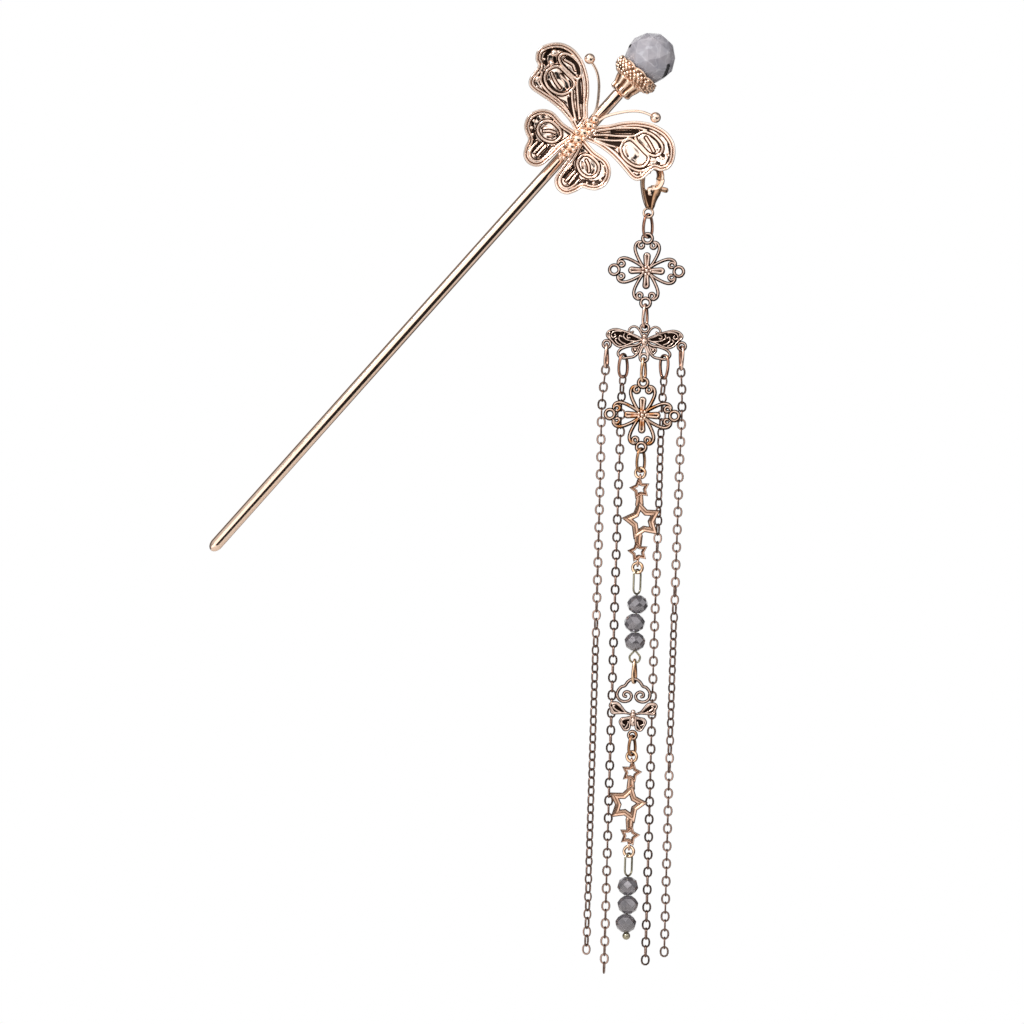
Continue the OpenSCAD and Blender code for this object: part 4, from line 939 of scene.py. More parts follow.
@dataclass
class Butterfly:
    """The cast butterfly across the stick: four dished relief wings, a body of balls, and antennae."""

    along: float = 59.1
    front: float = 2.21
    thickness: float = 0.9
    lift: float = 1.9
    dish: float = 0.9
    antenna: float = 0.275
    antenna_ball: float = 1.1
    staple_half: float = 1.3
    staple_wire: float = 0.6
    # Height of the ground of the relief, how far it swells, and how much higher it lies within a cell.
    ground: float = 0.24
    swell: float = 0.17
    cushion: float = 0.16
    # Raised lines: two rims with distance from the edge, half width and rise, then walls and ridges.
    rims: tuple = ((0.27, 0.29, 0.5), (0.84, 0.23, 0.44))
    wall: tuple = (0.28, 0.5)
    ridge: tuple = (0.26, 0.46)
    # Share of its drawn radius that a granule keeps.
    granule: float = 0.62

    def lie(self, aside: np.ndarray, hollow: np.ndarray | float) -> np.ndarray:
        """Depth of a wing's ground: lifted to the front with the distance aside, and dished by a share."""
        return -self.front - self.lift * np.abs(aside) / FORE_REACH[0] + self.dish * hollow

    def relief(self, wing: Wing, flat: np.ndarray, outline: np.ndarray) -> np.ndarray:
        """Height of the relief over the wing: a double rim by its outline, walled cells, ridges and pits.

        Args:
            wing: The wing.
            flat: Places on it in millimetres, (n, 2).
            outline: Its outline in millimetres.

        Returns:
            Heights in millimetres, from nought to the rim's.
        """
        edge = line_distance(flat, outline, closed=True)
        # The ground swells a little: cosines of three directions, none a whole multiple of another.
        x, z = flat[:, 0], flat[:, 1]
        wave = np.cos(2.1 * x + 0.9 * z) + np.cos(1.3 * z - 1.7 * x) + np.cos(3.1 * z + 0.6 * x)
        height = self.ground + self.swell * wave / 3
        for pit, half in wing.pits:
            gap = line_distance(flat, catmull(np.array(pit) * wing.reach, 6))
            height = height * smooth(gap, 0.7 * half, 1.25 * half)
        lines = [(edge - middle, half, rise) for middle, half, rise in self.rims]
        for cell in wing.cells:
            line = catmull(np.array(cell) * wing.reach, 8, closed=True)
            gap = line_distance(flat, line, closed=True)
            height = np.where(inside(flat, line), height + self.cushion * smooth(gap, 0.5, 1.3), height)
            lines.append((gap, *self.wall))
        for ridge in wing.ridges:
            lines.append((line_distance(flat, catmull(np.array(ridge) * wing.reach, 8)), *self.ridge))
        # Along both sides of every raised line the ground sinks to nought in a moat, painted dark as shade.
        beside = np.min([np.abs(gap) - half for gap, half, _ in lines], axis=0)
        height = height * smooth(beside, 0.06, 0.24)
        for gap, half, rise in lines:
            height = np.maximum(height, round_line(gap, half, rise))
        return height

    def wing(self, wing: Wing) -> Shape:
        """One right wing: rings run from its middle to its outline, front and back, over a shallow dish.

        Args:
            wing: The wing's outline and relief.

        Returns:
            Its closed shape in the stick's frame, from the butterfly's middle.
        """
        outline = catmull(wing.outline * wing.reach, 20, closed=True)
        hub = wing.middle * wing.reach
        share = np.concatenate([np.linspace(0.02, 0.86, 80), np.linspace(0.868, 1.0, 24)])
        flat = hub + (outline - hub)[None] * share[:, None, None]
        height = self.relief(wing, flat.reshape(-1, 2), outline).reshape(flat.shape[:2])
        ground = self.lie(flat[..., 0], 1 - share[:, None] ** 2)
        front = np.stack([flat[..., 0], ground - height, flat[..., 1]], axis=2)
        # The back: shares of the way out, and how thick the casting is there.
        share = np.array([1.0, 0.985, 0.95, 0.8, 0.6, 0.4, 0.2, 0.03])
        depth = np.array([0.25, 0.65, 0.9, 0.9, 0.9, 0.9, 0.9, 0.9])[:, None] / 0.9 * self.thickness
        flat = hub + (outline - hub)[None] * share[:, None, None]
        ground = self.lie(flat[..., 0], 1 - share[:, None] ** 2)
        back = np.stack([flat[..., 0], ground + depth, flat[..., 1]], axis=2)
        # Painted shade darkens the low ground between the raised lines; the back has none.
        painted_shade = np.concatenate([1 - smooth(height, 0.03, 0.2), np.zeros(flat.shape[:2])])
        shape = skin(np.concatenate([front, back]), painted_shade=painted_shade)
        spots = wing.granules[:, :2] * wing.reach
        centres = np.stack([spots[:, 0], self.lie(spots[:, 0], 0.35) + 0.1, spots[:, 1]], axis=1)
        return Shape.joined([shape, balls(centres, wing.granules[:, 2] * self.granule, 14)])

    def body(self) -> Shape:
        """The body: a spine of balls with pairs of smaller ones on its front."""
        # Shares of the forewing's reach aside and up, and the ball's radius in mm.
        spine = np.array([
            [0, 0.34, 0.95], [0, 0.2, 1.05], [0, 0.04, 1.15], [0, -0.12, 1.2], [0, -0.28, 1.1],
            [0, -0.42, 0.95], [0, -0.54, 0.7]])
        pairs = np.array([
            [0.045, 0.24, 0.5], [0.055, 0.1, 0.55], [0.055, -0.04, 0.55], [0.06, -0.18, 0.55],
            [0.055, -0.31, 0.5], [0.045, -0.42, 0.45], [0.03, -0.52, 0.4]])
        rows = np.vstack([spine, pairs, pairs * [-1, 1, 1]])
        places = rows[:, :2] * FORE_REACH
        sunk = np.where(rows[:, 0] == 0, 0.1, -0.75)
        return balls(np.stack([places[:, 0], -self.front + sunk, places[:, 1]], axis=1), rows[:, 2])

    def feeler(self) -> Shape:
        """The right antenna: a thin wire through chosen places, thickening to a polished ball."""
        course = np.array([
            [0.03, 0.30], [0.07, 0.50], [0.15, 0.69], [0.25, 0.87], [0.36, 0.99], [0.50, 1.06]])
        line = catmull(course * FORE_REACH, 8)
        y = -self.front - self.lift * 0.5 * np.linspace(0, 1, len(line))
        path = np.stack([line[:, 0], y, line[:, 1]], axis=1)
        ball = balls(path[-1:], np.array([self.antenna_ball]), 24)
        return Shape.joined([swept(path, circle_profile(self.antenna, 10)), ball])

    def staple(self) -> Shape:
        """The staple behind the right forewing that the ring hangs on: one wire bent twice."""
        ring_low, ring_high = node_box("wing_ring")
        middle = (ring_low + ring_high) / 2
        # The wire runs under the ring's own, 0.6 mm thick, with a little play.
        ring_wire, play, bend = 0.6, 0.12, 0.4
        z = ring_high[2] - ring_wire - play - self.staple_wire / 2
        half, far, root = self.staple_half, middle[1], -self.front - 0.2
        left = np.array([[-half, root, 0], [-half, far - bend, 0], [-half, far, 0], [-half + bend, far, 0]])
        corners = np.vstack([left, left[::-1] * [-1, 1, 1]])
        path = catmull(corners + [middle[0], 0, z], 6)
        return swept(path, circle_profile(self.staple_wire / 2, 10), up=(0, 0, 1))

    def build(self, shop: Workshop) -> None:
        """Makes the four wings, the body with its antennae, and the staple."""
        cast, polished = shop.finishes.cast_rose, shop.finishes.polished_rose
        hind, feeler = self.wing(HINDWING), self.feeler()
        table = (
            ("forewing_right", self.wing(FOREWING_RIGHT), cast),
            ("forewing_left", self.wing(FOREWING_LEFT).mirrored(), cast),
            ("hindwing_right", hind, cast),
            ("hindwing_left", hind.mirrored(), cast),
            ("body", Shape.joined([self.body(), feeler, feeler.mirrored()]), polished),
        )
        table = [(name, on_stick(shape, self.along), finish) for name, shape, finish in table]
        for name, shape, finish in (*table, ("staple", self.staple(), polished)):
            shop.piece(f"butterfly_{name}", shape, finish, Body.HAIRPIN, "rose_gold", ("butterfly",))


@dataclass
class JumpRings:
    """The bent wire rings between the castings, long and round, a little twisted from being opened."""

    wire: float = 0.64
    width: float = 3.04
    round_wire: float = 0.6
    round_turn: float = -16.0
    # Turn in degrees past which a ring is seen edge-on.
    edge_on: float = 62.0

    def wire_loop(self, path: np.ndarray, turn: float) -> Shape:
        """Round wire along a loop turned by an angle in degrees, its painted shade darkest towards the
        ring's middle.
        """
        section = circle_profile(self.wire / 2, 12)
        facing = section[:, 0] / (self.wire / 2)
        # Painted shade, set by how the ring is seen: from the front the outline is the dark one,
        # seen edge-on the outer side is the bright one.
        dark = np.where(facing < 0, -0.9 * facing, 0.65 * facing)
        if abs(turn) > self.edge_on:
            dark = np.clip(0.8 * (1 - np.abs(facing)) + 0.35 * (facing < 0), 0, 1)
        across = np.array([-math.sin(math.radians(turn)), math.cos(math.radians(turn)), 0])
        return swept(path, section, up=across, closed=True, shade=dark)

    def long_ring(self, node: str, turn: float, twist: float, width: float) -> Shape:
        """A long ring in the place of its CAD node, turned and twisted by angles in degrees about Z."""
        low, high = node_box(node)
        wide, tall = (width - self.wire) / 2, (high[2] - low[2] - self.wire) / 2
        turned = turns(44)
        # Between an ellipse and a rounded box: the side's share is the cosine to the power 0.75.
        x = wide * np.sign(np.cos(turned)) * np.abs(np.cos(turned)) ** 0.75
        z = tall * np.sin(turned)
        angle = np.radians(turn + twist * z / tall)
        return self.wire_loop(polar(angle, x, z), turn).moved(offset=(low + high) / 2)

    def round_ring(self, node: str) -> Shape:
        """A round ring in the place of its CAD node."""
        low, high = node_box(node)
        angle = math.radians(self.round_turn)
        flat = circle((0, 0), (high[2] - low[2] - self.round_wire) / 2)
        path = np.stack([flat[:, 0] * math.cos(angle), flat[:, 0] * math.sin(angle), flat[:, 1]], axis=1)
        return self.wire_loop(path, self.round_turn).moved(offset=(low + high) / 2)

    def build(self, shop: Workshop) -> None:
        """Makes every ring of the tassel; the one on the wing keeps its CAD shape."""
        rose, gold = shop.finishes.ring, shop.finishes.pale_gold
        # Node, turn from facing the viewer, twist over its height, width, and finish.
        rows = (
            ("ring_clasp", 50, 8, 3.4, rose),
            ("ring_flower_upper", 70, 5, self.width, rose),
            ("ring_strand_1", 79, 8, self.width, rose),
            ("ring_strand_2", 50, 8, 3.3, rose),
            ("ring_strand_3", -52, 8, self.width, rose),
            ("ring_strand_4", -80, 6, self.width, rose),
            ("ring_flower_lower", 70, 6, self.width, gold),
            ("ring_star_upper_long", 50, 8, self.width, gold),
            ("ring_scroll", 76, 8, self.width, gold),
            ("ring_star_lower_long", 58, 10, self.width, gold),
        )
        for node, turn, twist, width, finish in rows:
            slot = "rose_gold" if finish is rose else "pale_gold"
            ring = self.long_ring(node, turn, twist, width)
            shop.piece(f"jump_{node}", ring, finish, Body.TASSEL, slot, (node,))
        for node in ("ring_star_upper_round", "ring_star_lower_round", "ring_bead_upper", "ring_bead_lower"):
            shop.piece(f"jump_{node}", self.round_ring(node), gold, Body.TASSEL, "pale_gold", (node,))


@dataclass
class ChainStrand:
    """A cable chain of oval links, each through its neighbours and turned a quarter from them."""

    number: int
    route: np.ndarray
    twist: np.ndarray
    wire: float = 0.4
    pitch: float = 1.76
    width: float = 1.84
    short: float = 2.3
    long: float = 2.6
    # Length along the route to the first link's middle.
    first: float = 0.62

    def link(self, length: float) -> Shape:
        """One link, its length along X and its width along Y: a round wire swept along a long ring."""
        path = stadium(self.width - self.wire, length - self.wire, 12)[:, [2, 0, 1]]
        # Painted shade darkens the wire's outer and inner sides; its two faces are polished.
        side = np.abs(np.cos(np.arange(6) * math.pi / 3))
        return swept(path, circle_profile(self.wire / 2, 6), up=(0, 0, 1), closed=True, shade=0.9 * side)

    def build(self, shop: Workshop) -> None:
        """Lays the links along the route, from the lowest wire of the strand's ring down."""
        ring = f"ring_strand_{self.number}"
        low, _ = node_box(ring)
        middle = node_middle("ring_clasp")
        # The middle of the ring's own wire, where it hangs lowest.
        start = np.array([middle[0], middle[1], low[2] + 0.3])
        line = catmull(np.vstack([[self.route[0, 0], self.route[0, 1], 0.0], self.route]), 30) + start
        total = np.linalg.norm(np.diff(line, axis=0), axis=1).sum()
        count = int((total - 0.2) / self.pitch)
        places = self.first + self.pitch * np.arange(count)
        spots = even(line, places)
        along = unit(even(line, places + 0.4) - even(line, places - 0.4))
        quarter = 90.0 * (np.arange(count) % 2)
        turn = np.radians(quarter + np.interp(places / total, self.twist[:, 0], self.twist[:, 1]))
        flat = unit(np.cross(along, [0.0, 1.0, 0.0]))
        deep = np.cross(along, flat)
        side = flat * np.cos(turn)[:, None] + deep * np.sin(turn)[:, None]
        frames = np.stack([along, side, np.cross(along, side)], axis=2)
        shapes = []
        for parity, length in ((0, self.short), (1, self.long)):
            base = self.link(length)
            pick = np.arange(count) % 2 == parity
            points = np.einsum("nij,kj->nki", frames[pick], base.points) + spots[pick][:, None]
            shift = (np.arange(pick.sum()) * len(base.points))[:, None, None]
            shapes.append(Shape(points.reshape(-1, 3), (base.quads[None] + shift).reshape(-1, 4),
                                painted_shade=np.tile(base.painted_shade, pick.sum())))
        shop.piece(f"cable_chain_{self.number}", Shape.joined(shapes), shop.finishes.chain, Body.TASSEL,
                   "rose_gold", (f"chain_{self.number}",), crease=60)


# Course of each strand from the lowest wire of its ring, in millimetres.
ROUTES = (
    [[-7.6, 0.1, -0.47], [-7.9, 0.9, -3.97], [-8.1, 1.6, -7.97], [-8.1, 1.5, -11.97], [-8, 0.9, -20.97],
     [-7.9, 0.7, -58.97], [-7.9, 0.6, -88.97], [-7.9, 0.6, -117.97]],
    [[-4.1, 0.3, -0.52], [-4.2, 0.9, -2.42], [-4.2, 1.8, -5.02], [-4.2, 1.8, -11.02], [-4.3, 1.8, -27.02],
     [-4.3, 1.8, -57.02], [-4.3, 1.8, -87.02], [-4.2, 1.8, -121.02]],
    [[4.1, 0.3, -0.52], [4, 0.9, -2.42], [4, 1.8, -5.02], [3.9, 1.8, -11.02], [3.9, 1.8, -27.02],
     [3.8, 1.8, -57.02], [3.9, 1.8, -87.02], [4, 1.8, -119.02]],
    [[7.5, 0.1, -0.47], [7.8, 0.9, -3.97], [7.95, 1.6, -7.97], [7.95, 1.5, -11.97], [7.8, 0.9, -20.97],
     [7.6, 0.7, -58.97], [7.6, 0.6, -88.97], [7.7, 0.6, -117.97]],
)
# Slow twist of each strand: share of its length, and turn in degrees of every other link.
TWISTS = (
    [[0, 0], [0.4, 6], [0.5, 45], [0.8, 45], [1, 20]],
    [[0, -40], [0.05, 0], [0.6, -8], [1, 10]],
    [[0, 40], [0.06, 4], [0.1, 45], [0.2, 42], [0.3, 5], [1, -8]],
    [[0, 0], [0.35, 4], [0.45, 45], [0.6, 40], [0.7, 5], [1, 0]],
)


def tassel_place(height: float) -> np.ndarray:
    """The place at a height on the line that the tassel hangs along."""
    return np.array([*node_middle("ring_clasp")[:2], height])


@dataclass
class CupCone:
    """The fluted cone that the rod ends in."""

    length: float = 3.1
    wide: float = 6.0
    narrow: float = 3.6
    flutes: int = 10
    flute_depth: float = 0.42
    shoulder: float = 70.26
    beads: int = 22
    bead: float = 0.2

    def build(self, shop: Workshop) -> None:
        """Makes the cone: a profile turned about the stick, whose radius dips along each flute."""
        share = np.array([0, 0.02, 0.1, 0.2, 0.3, 0.42, 0.55, 0.68, 0.78, 0.86, 0.9, 0.95, 1.0])
        swell = np.array([0, 0.2, 0.5, 0.56, 0.52, 0.56, 0.68, 0.82, 0.92, 0.985, 1.0, 0.99, 0.92])
        radius = (self.narrow + (self.wide - self.narrow) * swell) / 2
        # A flute is deepest where the cosine of its turn is highest, and fades out towards both ends.
        flute = (0.5 + 0.5 * np.cos(self.flutes * turns(160))) ** 1.5
        fade = np.clip(np.minimum(share / 0.12, (0.97 - share) / 0.12), 0, 1)[:, None]
        profile = np.stack([radius, self.shoulder + share * self.length], axis=1)
        # Painted shade darkens each flute where it is deepest.
        shape = revolved(profile, 160, ripple=-self.flute_depth * fade * flute,
                         painted_shade=smooth(fade * flute, 0.25, 0.9))
        ring = polar(turns(self.beads), 1.5, self.shoulder + 0.22)
        shape = Shape.joined([shape, balls(ring, np.full(self.beads, self.bead), 8)])
        shop.piece("cone", on_stick(shape, 0), shop.finishes.crown, Body.HAIRPIN, "pale_gold", ("cup_cone",))


# Factors of the fraction of a large sine, unrelated to each other, so that neighbouring grains differ.
SCATTER = (12.9898, 78.233, 43758.5453)


@dataclass
class CrownCap:
    """The cap that holds the crystal: nine scalloped petals, rows of granules and a heart on each."""

    base: float = 73.42
    length: float = 3.0
    wide: float = 9.4
    petals: int = 9
    granule: float = 0.46
    # How far the shell and the rows of granules draw in and dip between two petals.
    scallop: float = 0.34
    row_scallop: float = 0.3
    # The width that the tables of radii are drawn for.
    drawn_wide: float = 9.4
    # Rows of granules: radius, height over the base, size of the grains.
    rows: tuple = (
        (2.9, 0.1, 0.27), (3.55, 0.38, 0.34), (4.05, 0.82, 0.37), (4.38, 1.32, 0.38), (4.5, 1.84, 0.38),
        (4.52, 2.36, 0.34))
    around: int = 26

    def lobe(self, turn: np.ndarray) -> np.ndarray:
        """How near a turn is to a petal's middle, from nought to one: abs(cos(petals * turn / 2))."""
        return np.abs(np.cos(self.petals * turn / 2))

    def notch(self, turn: np.ndarray) -> tuple[np.ndarray, np.ndarray]:
        """Shares of drawing in and of dipping at a turn: nought in a petal's middle, one between two."""
        between = 1 - self.lobe(turn)
        return between**1.6, between**1.3

    def shell(self) -> Shape:
        """The cap itself: up the outside in nine lobes, over the edge, and down the hollow inside."""
        outer = np.array([
            [2.6, 0], [3.0, 0.02], [3.55, 0.2], [4.05, 0.55], [4.35, 0.95], [4.5, 1.4], [4.58, 1.9],
            [4.62, 2.4], [4.62, 2.75]])
        inner = np.array([
            [4.5, 3.0], [4.2, 2.95], [3.8, 2.7], [3.4, 2.3], [2.9, 1.95], [2.0, 1.45], [1.1, 1.2]])
        profile = np.vstack([outer, inner]) * [self.wide / self.drawn_wide, self.length / 3] + [0, self.base]
        inward, down = self.notch(turns(180))
        share = np.concatenate([np.linspace(0, 1, len(outer)), np.linspace(1, 0, len(inner))])[:, None]
        ripple = -self.scallop * share * inward
        rise = -self.scallop * np.clip(share * 1.6 - 0.6, 0, 1) * down
        # Painted shade over the shell between the granules: lighter at its foot and deep in its hollow, dark
        # elsewhere.
        painted_shade = np.broadcast_to(np.clip(share * 2.2, 0.4, 0.8), ripple.shape)
        return revolved(profile, 180, ripple, rise, painted_shade)

    def granules(self) -> Shape:
        """Staggered rows of granules all over the lobes, and a rosette with a heart on each lobe."""
        size = self.wide / self.drawn_wide
        along, across, large = SCATTER
        spots, radii = [], []
        for row, (radius, up, grain) in enumerate(self.rows):
            # Hand-set grains: their turn and size wander, by the fraction of a large sine.
            wander = np.modf(np.abs(np.sin(along * np.arange(self.around) + across * row)) * large)[0]
            angle = turns(self.around) + (row % 2) * math.pi / self.around + 0.09 * (wander - 0.5)
            inward, down = self.notch(angle)
            reach = radius * size - self.row_scallop * (up / 3) * inward
            height = self.base + up - self.row_scallop * np.clip(up / 3 - 0.3, 0, 1) * down
            spots.append(polar(angle, reach, height))
            radii.append(grain * (0.62 + 0.3 * self.lobe(angle) + 0.42 * wander))
        spots.append(polar(turns(self.petals), 4.5 * size, self.base + 1.6))
        radii.append(np.full(self.petals, self.granule))
        return balls(np.vstack(spots), np.concatenate(radii), 8)

    def edge(self) -> Shape:
        """A wire along the scalloped edge."""
        inward, down = self.notch(turns(180))
        radius = 4.55 * self.wide / self.drawn_wide - self.row_scallop * inward
        height = self.base + self.length - 0.2 - self.scallop * down
        return swept(polar(turns(180), radius, height), circle_profile(0.2, 8), up=(0, 0, 1), closed=True)

    def build(self, shop: Workshop) -> None:
        """Makes the cap as one piece."""
        shape = Shape.joined([self.shell(), self.granules(), self.edge()])
        shop.piece("crown", on_stick(shape, 0), shop.finishes.crown, Body.HAIRPIN, "pale_gold",
                   ("crown_cap",))


@dataclass
class CutCrystal:
    """The cut crystal in its crown: two tables, and rows of flat facets between rings of ten corners."""

    base: float = 73.42
    diameter: float = 10.0
    height: float = 9.8
    sides: int = 10
    # Rings of corners: radius and height as shares of half the crystal's.
    rings: tuple = ((0.38, 1.0), (0.80, 0.66), (1.0, 0.2), (1.0, -0.2), (0.80, -0.66), (0.38, -1.0))
    # Corners painted black as dark reflections: ring and corner.
    dark: tuple = ((2, 9), (3, 9), (3, 5), (4, 2), (1, 1), (2, 3))

    def build(self, shop: Workshop) -> None:
        """Makes the stone: every other ring is turned by half a step, so that the facets are triangles."""
        low, high = node_box("crystal_bead")
        centre = (low + high) / 2
        along = centre[0] * math.sin(LEAN) + centre[2] * math.cos(LEAN)
        corner = np.arange(self.sides)
        after = (corner + 1) % self.sides
        points, tris, shade = [], [], np.zeros((len(self.rings), self.sides))
        for ring, (reach, rise) in enumerate(self.rings):
            turn = (corner + (ring % 2) / 2) * 2 * math.pi / self.sides
            points.append(polar(turn, reach * self.diameter / 2, along + rise * self.height / 2))
        for ring in range(len(self.rings) - 1):
            upper, lower = ring * self.sides, (ring + 1) * self.sides
            a, on_a, b, on_b = upper + corner, upper + after, lower + corner, lower + after
            rows = [(a, on_a, b), (on_a, on_b, b)] if ring % 2 == 0 else [(a, on_b, b), (a, on_a, on_b)]
            tris += [np.stack(row, axis=1) for row in rows]
        for ring, place in self.dark:
            shade[ring, place] = 1.0
        ends = np.array([[0, 0, along + self.height / 2], [0, 0, along - self.height / 2]])
        last = (len(self.rings) - 1) * self.sides
        top = np.full(self.sides, last + self.sides)
        tris.append(np.stack([top, after, corner], axis=1))
        tris.append(np.stack([top + 1, last + corner, last + after], axis=1))
        painted_shade = np.append(shade.ravel(), [0, 0])
        shape = Shape(np.vstack([*points, ends]), tris=np.vstack(tris), painted_shade=painted_shade).outward()
        shop.piece("cut_crystal", on_stick(shape, 0), shop.finishes.crystal, Body.HAIRPIN, "crystal",
                   ("crystal_bead",), crease=0)


@dataclass
class Clasp:
    """The lobster clasp: a rounded hook and arm, cheeks with a flat bar, an eye, and the lever's rim."""

    length: float = 8.1
    width: float = 4.7
    thickness: float = 1.9
    mouth: float = 2.7
    mouth_z: float = -0.8
    lean: float = 0.05
    aside: float = 0.625
    eye_radius: float = 0.92
    eye_wire: float = 0.5
    # Middle of the lever's round opening, radii of its rim and inner slope, and the rim's way forward.
    opening: tuple = (0.85, -1.5)
    rim_radius: float = 1.77
    wall_radius: float = 1.2
    rim_forward: tuple = (0, -0.26, 0)

    def hook(self) -> Shape:
        """The hook round the mouth, its inner slope painted amber shade, and the arm down its left to the
        foot.
        """
        radius = (self.width + self.mouth) / 4
        turn = np.radians(np.arange(-14, 172, 9))
        # The right side is broader inwards, as the band is seen partly from its inner face there.
        inward = 0.24 * smooth(np.cos(turn), 0.2, 0.95)
        bow = np.stack([(radius - inward) * np.cos(turn), self.mouth_z + radius * np.sin(turn)], axis=1)
        # The top is slimmer, and so clears the staple when the tassel swings sideways.
        scale = np.interp(np.linspace(0, 1, len(bow)), [0, 0.22, 0.42, 0.7, 1], [1.6, 1.4, 1.12, 1.15, 1.1])
        wide = (self.width - self.mouth) / 2
        arm = catmull(np.array([
            [-1.84, -0.4], [-1.88, -1.2], [-1.87, -2.0], [-1.78, -2.8], [-1.6, -3.8], [-1.36, -4.8],
            [-1.04, -5.8], [-0.74, -6.5], [-0.45, -7.05]]), 4)
        slim = np.linspace(1.0, 0.72, len(arm))
        return Shape.joined([
            cast_wire(bow, wide, self.thickness * 0.8, section=CLASP_BAND, scale=scale),
            cast_wire(arm, wide, self.thickness, section=ARM_BAND * [-1, 1, 1], scale=slim),
        ])

    def cheeks(self) -> Shape:
        """The two cheeks: plates with a raised rim round a shade-painted hollow, each with a broad flat bar.
        """
        outline = catmull(np.array([
            [-1.75, -3.1], [-0.9, -3.55], [0, -3.7], [1.0, -3.25], [1.95, -2.95], [1.98, -3.7], [1.5, -4.9],
            [1.1, -6.1], [0.75, -7.1], [-0.75, -7.1], [-1.2, -5.8], [-1.6, -4.4]]), 6, closed=True)
        plate = relief_plate(outline, np.array([0.05, -5.0]), [], -0.5, 0.3, -0.4, rim=0.14)
        bar = catmull(np.array([[1.28, -3.1], [1.18, -4.0], [0.88, -4.9], [0.66, -5.9], [0.52, -6.9]]), 4)
        slope = np.interp(np.linspace(0, 1, len(bar)), [0, 0.3, 1], [0.98, 1.0, 0.45])
        bar = cast_wire(bar, 1.5, 0.4, section=FLAT_BAR, scale=slope).moved(offset=(0, -0.72, 0))
        front = Shape.joined([plate, bar])
        back = front.moved(np.diag([-1, -1, 1])).mirrored()
        return Shape.joined([front, back])

    def lever_rim(self) -> Shape:
        """The lever's polished rim, its inner slope painted amber shade, the tongue it ends in, and the
        thumb tab.
        """
        turn = np.radians(np.arange(4, -100, -6))[::-1]
        rim = polar(turn, self.rim_radius) + self.opening
        wall = polar(turn, self.wall_radius) + self.opening
        tongue = np.array([[0.34, -3.3], [0.32, -3.7], [0.3, -4.0], [0.24, -4.25]])
        tab = catmull(np.array([[1.9, -3.2], [2.5, -3.28], [3.0, -3.38], [3.4, -3.46]]), 5)
        forward = self.rim_forward
        return Shape.joined([
            cast_wire(rim, 0.86, 1.5, section=LEVER_BAND).moved(offset=forward),
            cast_wire(wall, 0.85, 1.1, section=AMBER_WALL, scale=np.linspace(0.35, 1.0, len(turn))),
            cast_wire(tongue, 1.25, 1.6, section=TONGUE,
                      scale=np.array([1, 1, 0.95, 0.8])).moved(offset=forward),
            cast_wire(tab, 1.05, 1.1, section=TAB),
        ])

    def build(self, nodes: dict[str, bpy.types.Object], shop: Workshop) -> None:
        """Makes the body as one piece, leaning a little to the right over its eye, and rims the lever."""
        finish = shop.finishes.clasp
        # It hangs on the lowest point of the wing ring's 0.6 mm wire.
        hang = tassel_place(node_box("wing_ring")[0][2] + 0.3)
        eye = cast_wire(circle((0, -self.length), self.eye_radius), self.eye_wire, self.eye_wire, True,
                        ROUND_WIRE)
        lean = np.array([[1, 0, self.lean], [0, 1, 0], [0, 0, 1]])
        body = Shape.joined([self.hook(), self.cheeks()]).moved(lean, (self.aside, 0, 0))
        body = Shape.joined([body, eye]).moved(offset=hang)
        shop.piece("lobster_clasp", body, finish, Body.TASSEL, "rose_gold", ("clasp_body",))
        shop.dress(nodes["clasp_lever"], finish)
        shop.piece("clasp_lever_rim", self.lever_rim().moved(offset=hang), finish, Body.CLASP_GATE,
                   "rose_gold")


# Right half of a flower's upper petal in shares of its reach, aside and outwards, and its end scroll.
PETAL = np.array([
    [0.11, 0.12], [0.18, 0.22], [0.27, 0.38], [0.345, 0.55], [0.375, 0.69], [0.35, 0.81], [0.27, 0.88],
    [0.18, 0.885]])
SCROLL_AT = np.array([0.18, 0.775])
SCROLL_RADII = (0.105, 0.06)


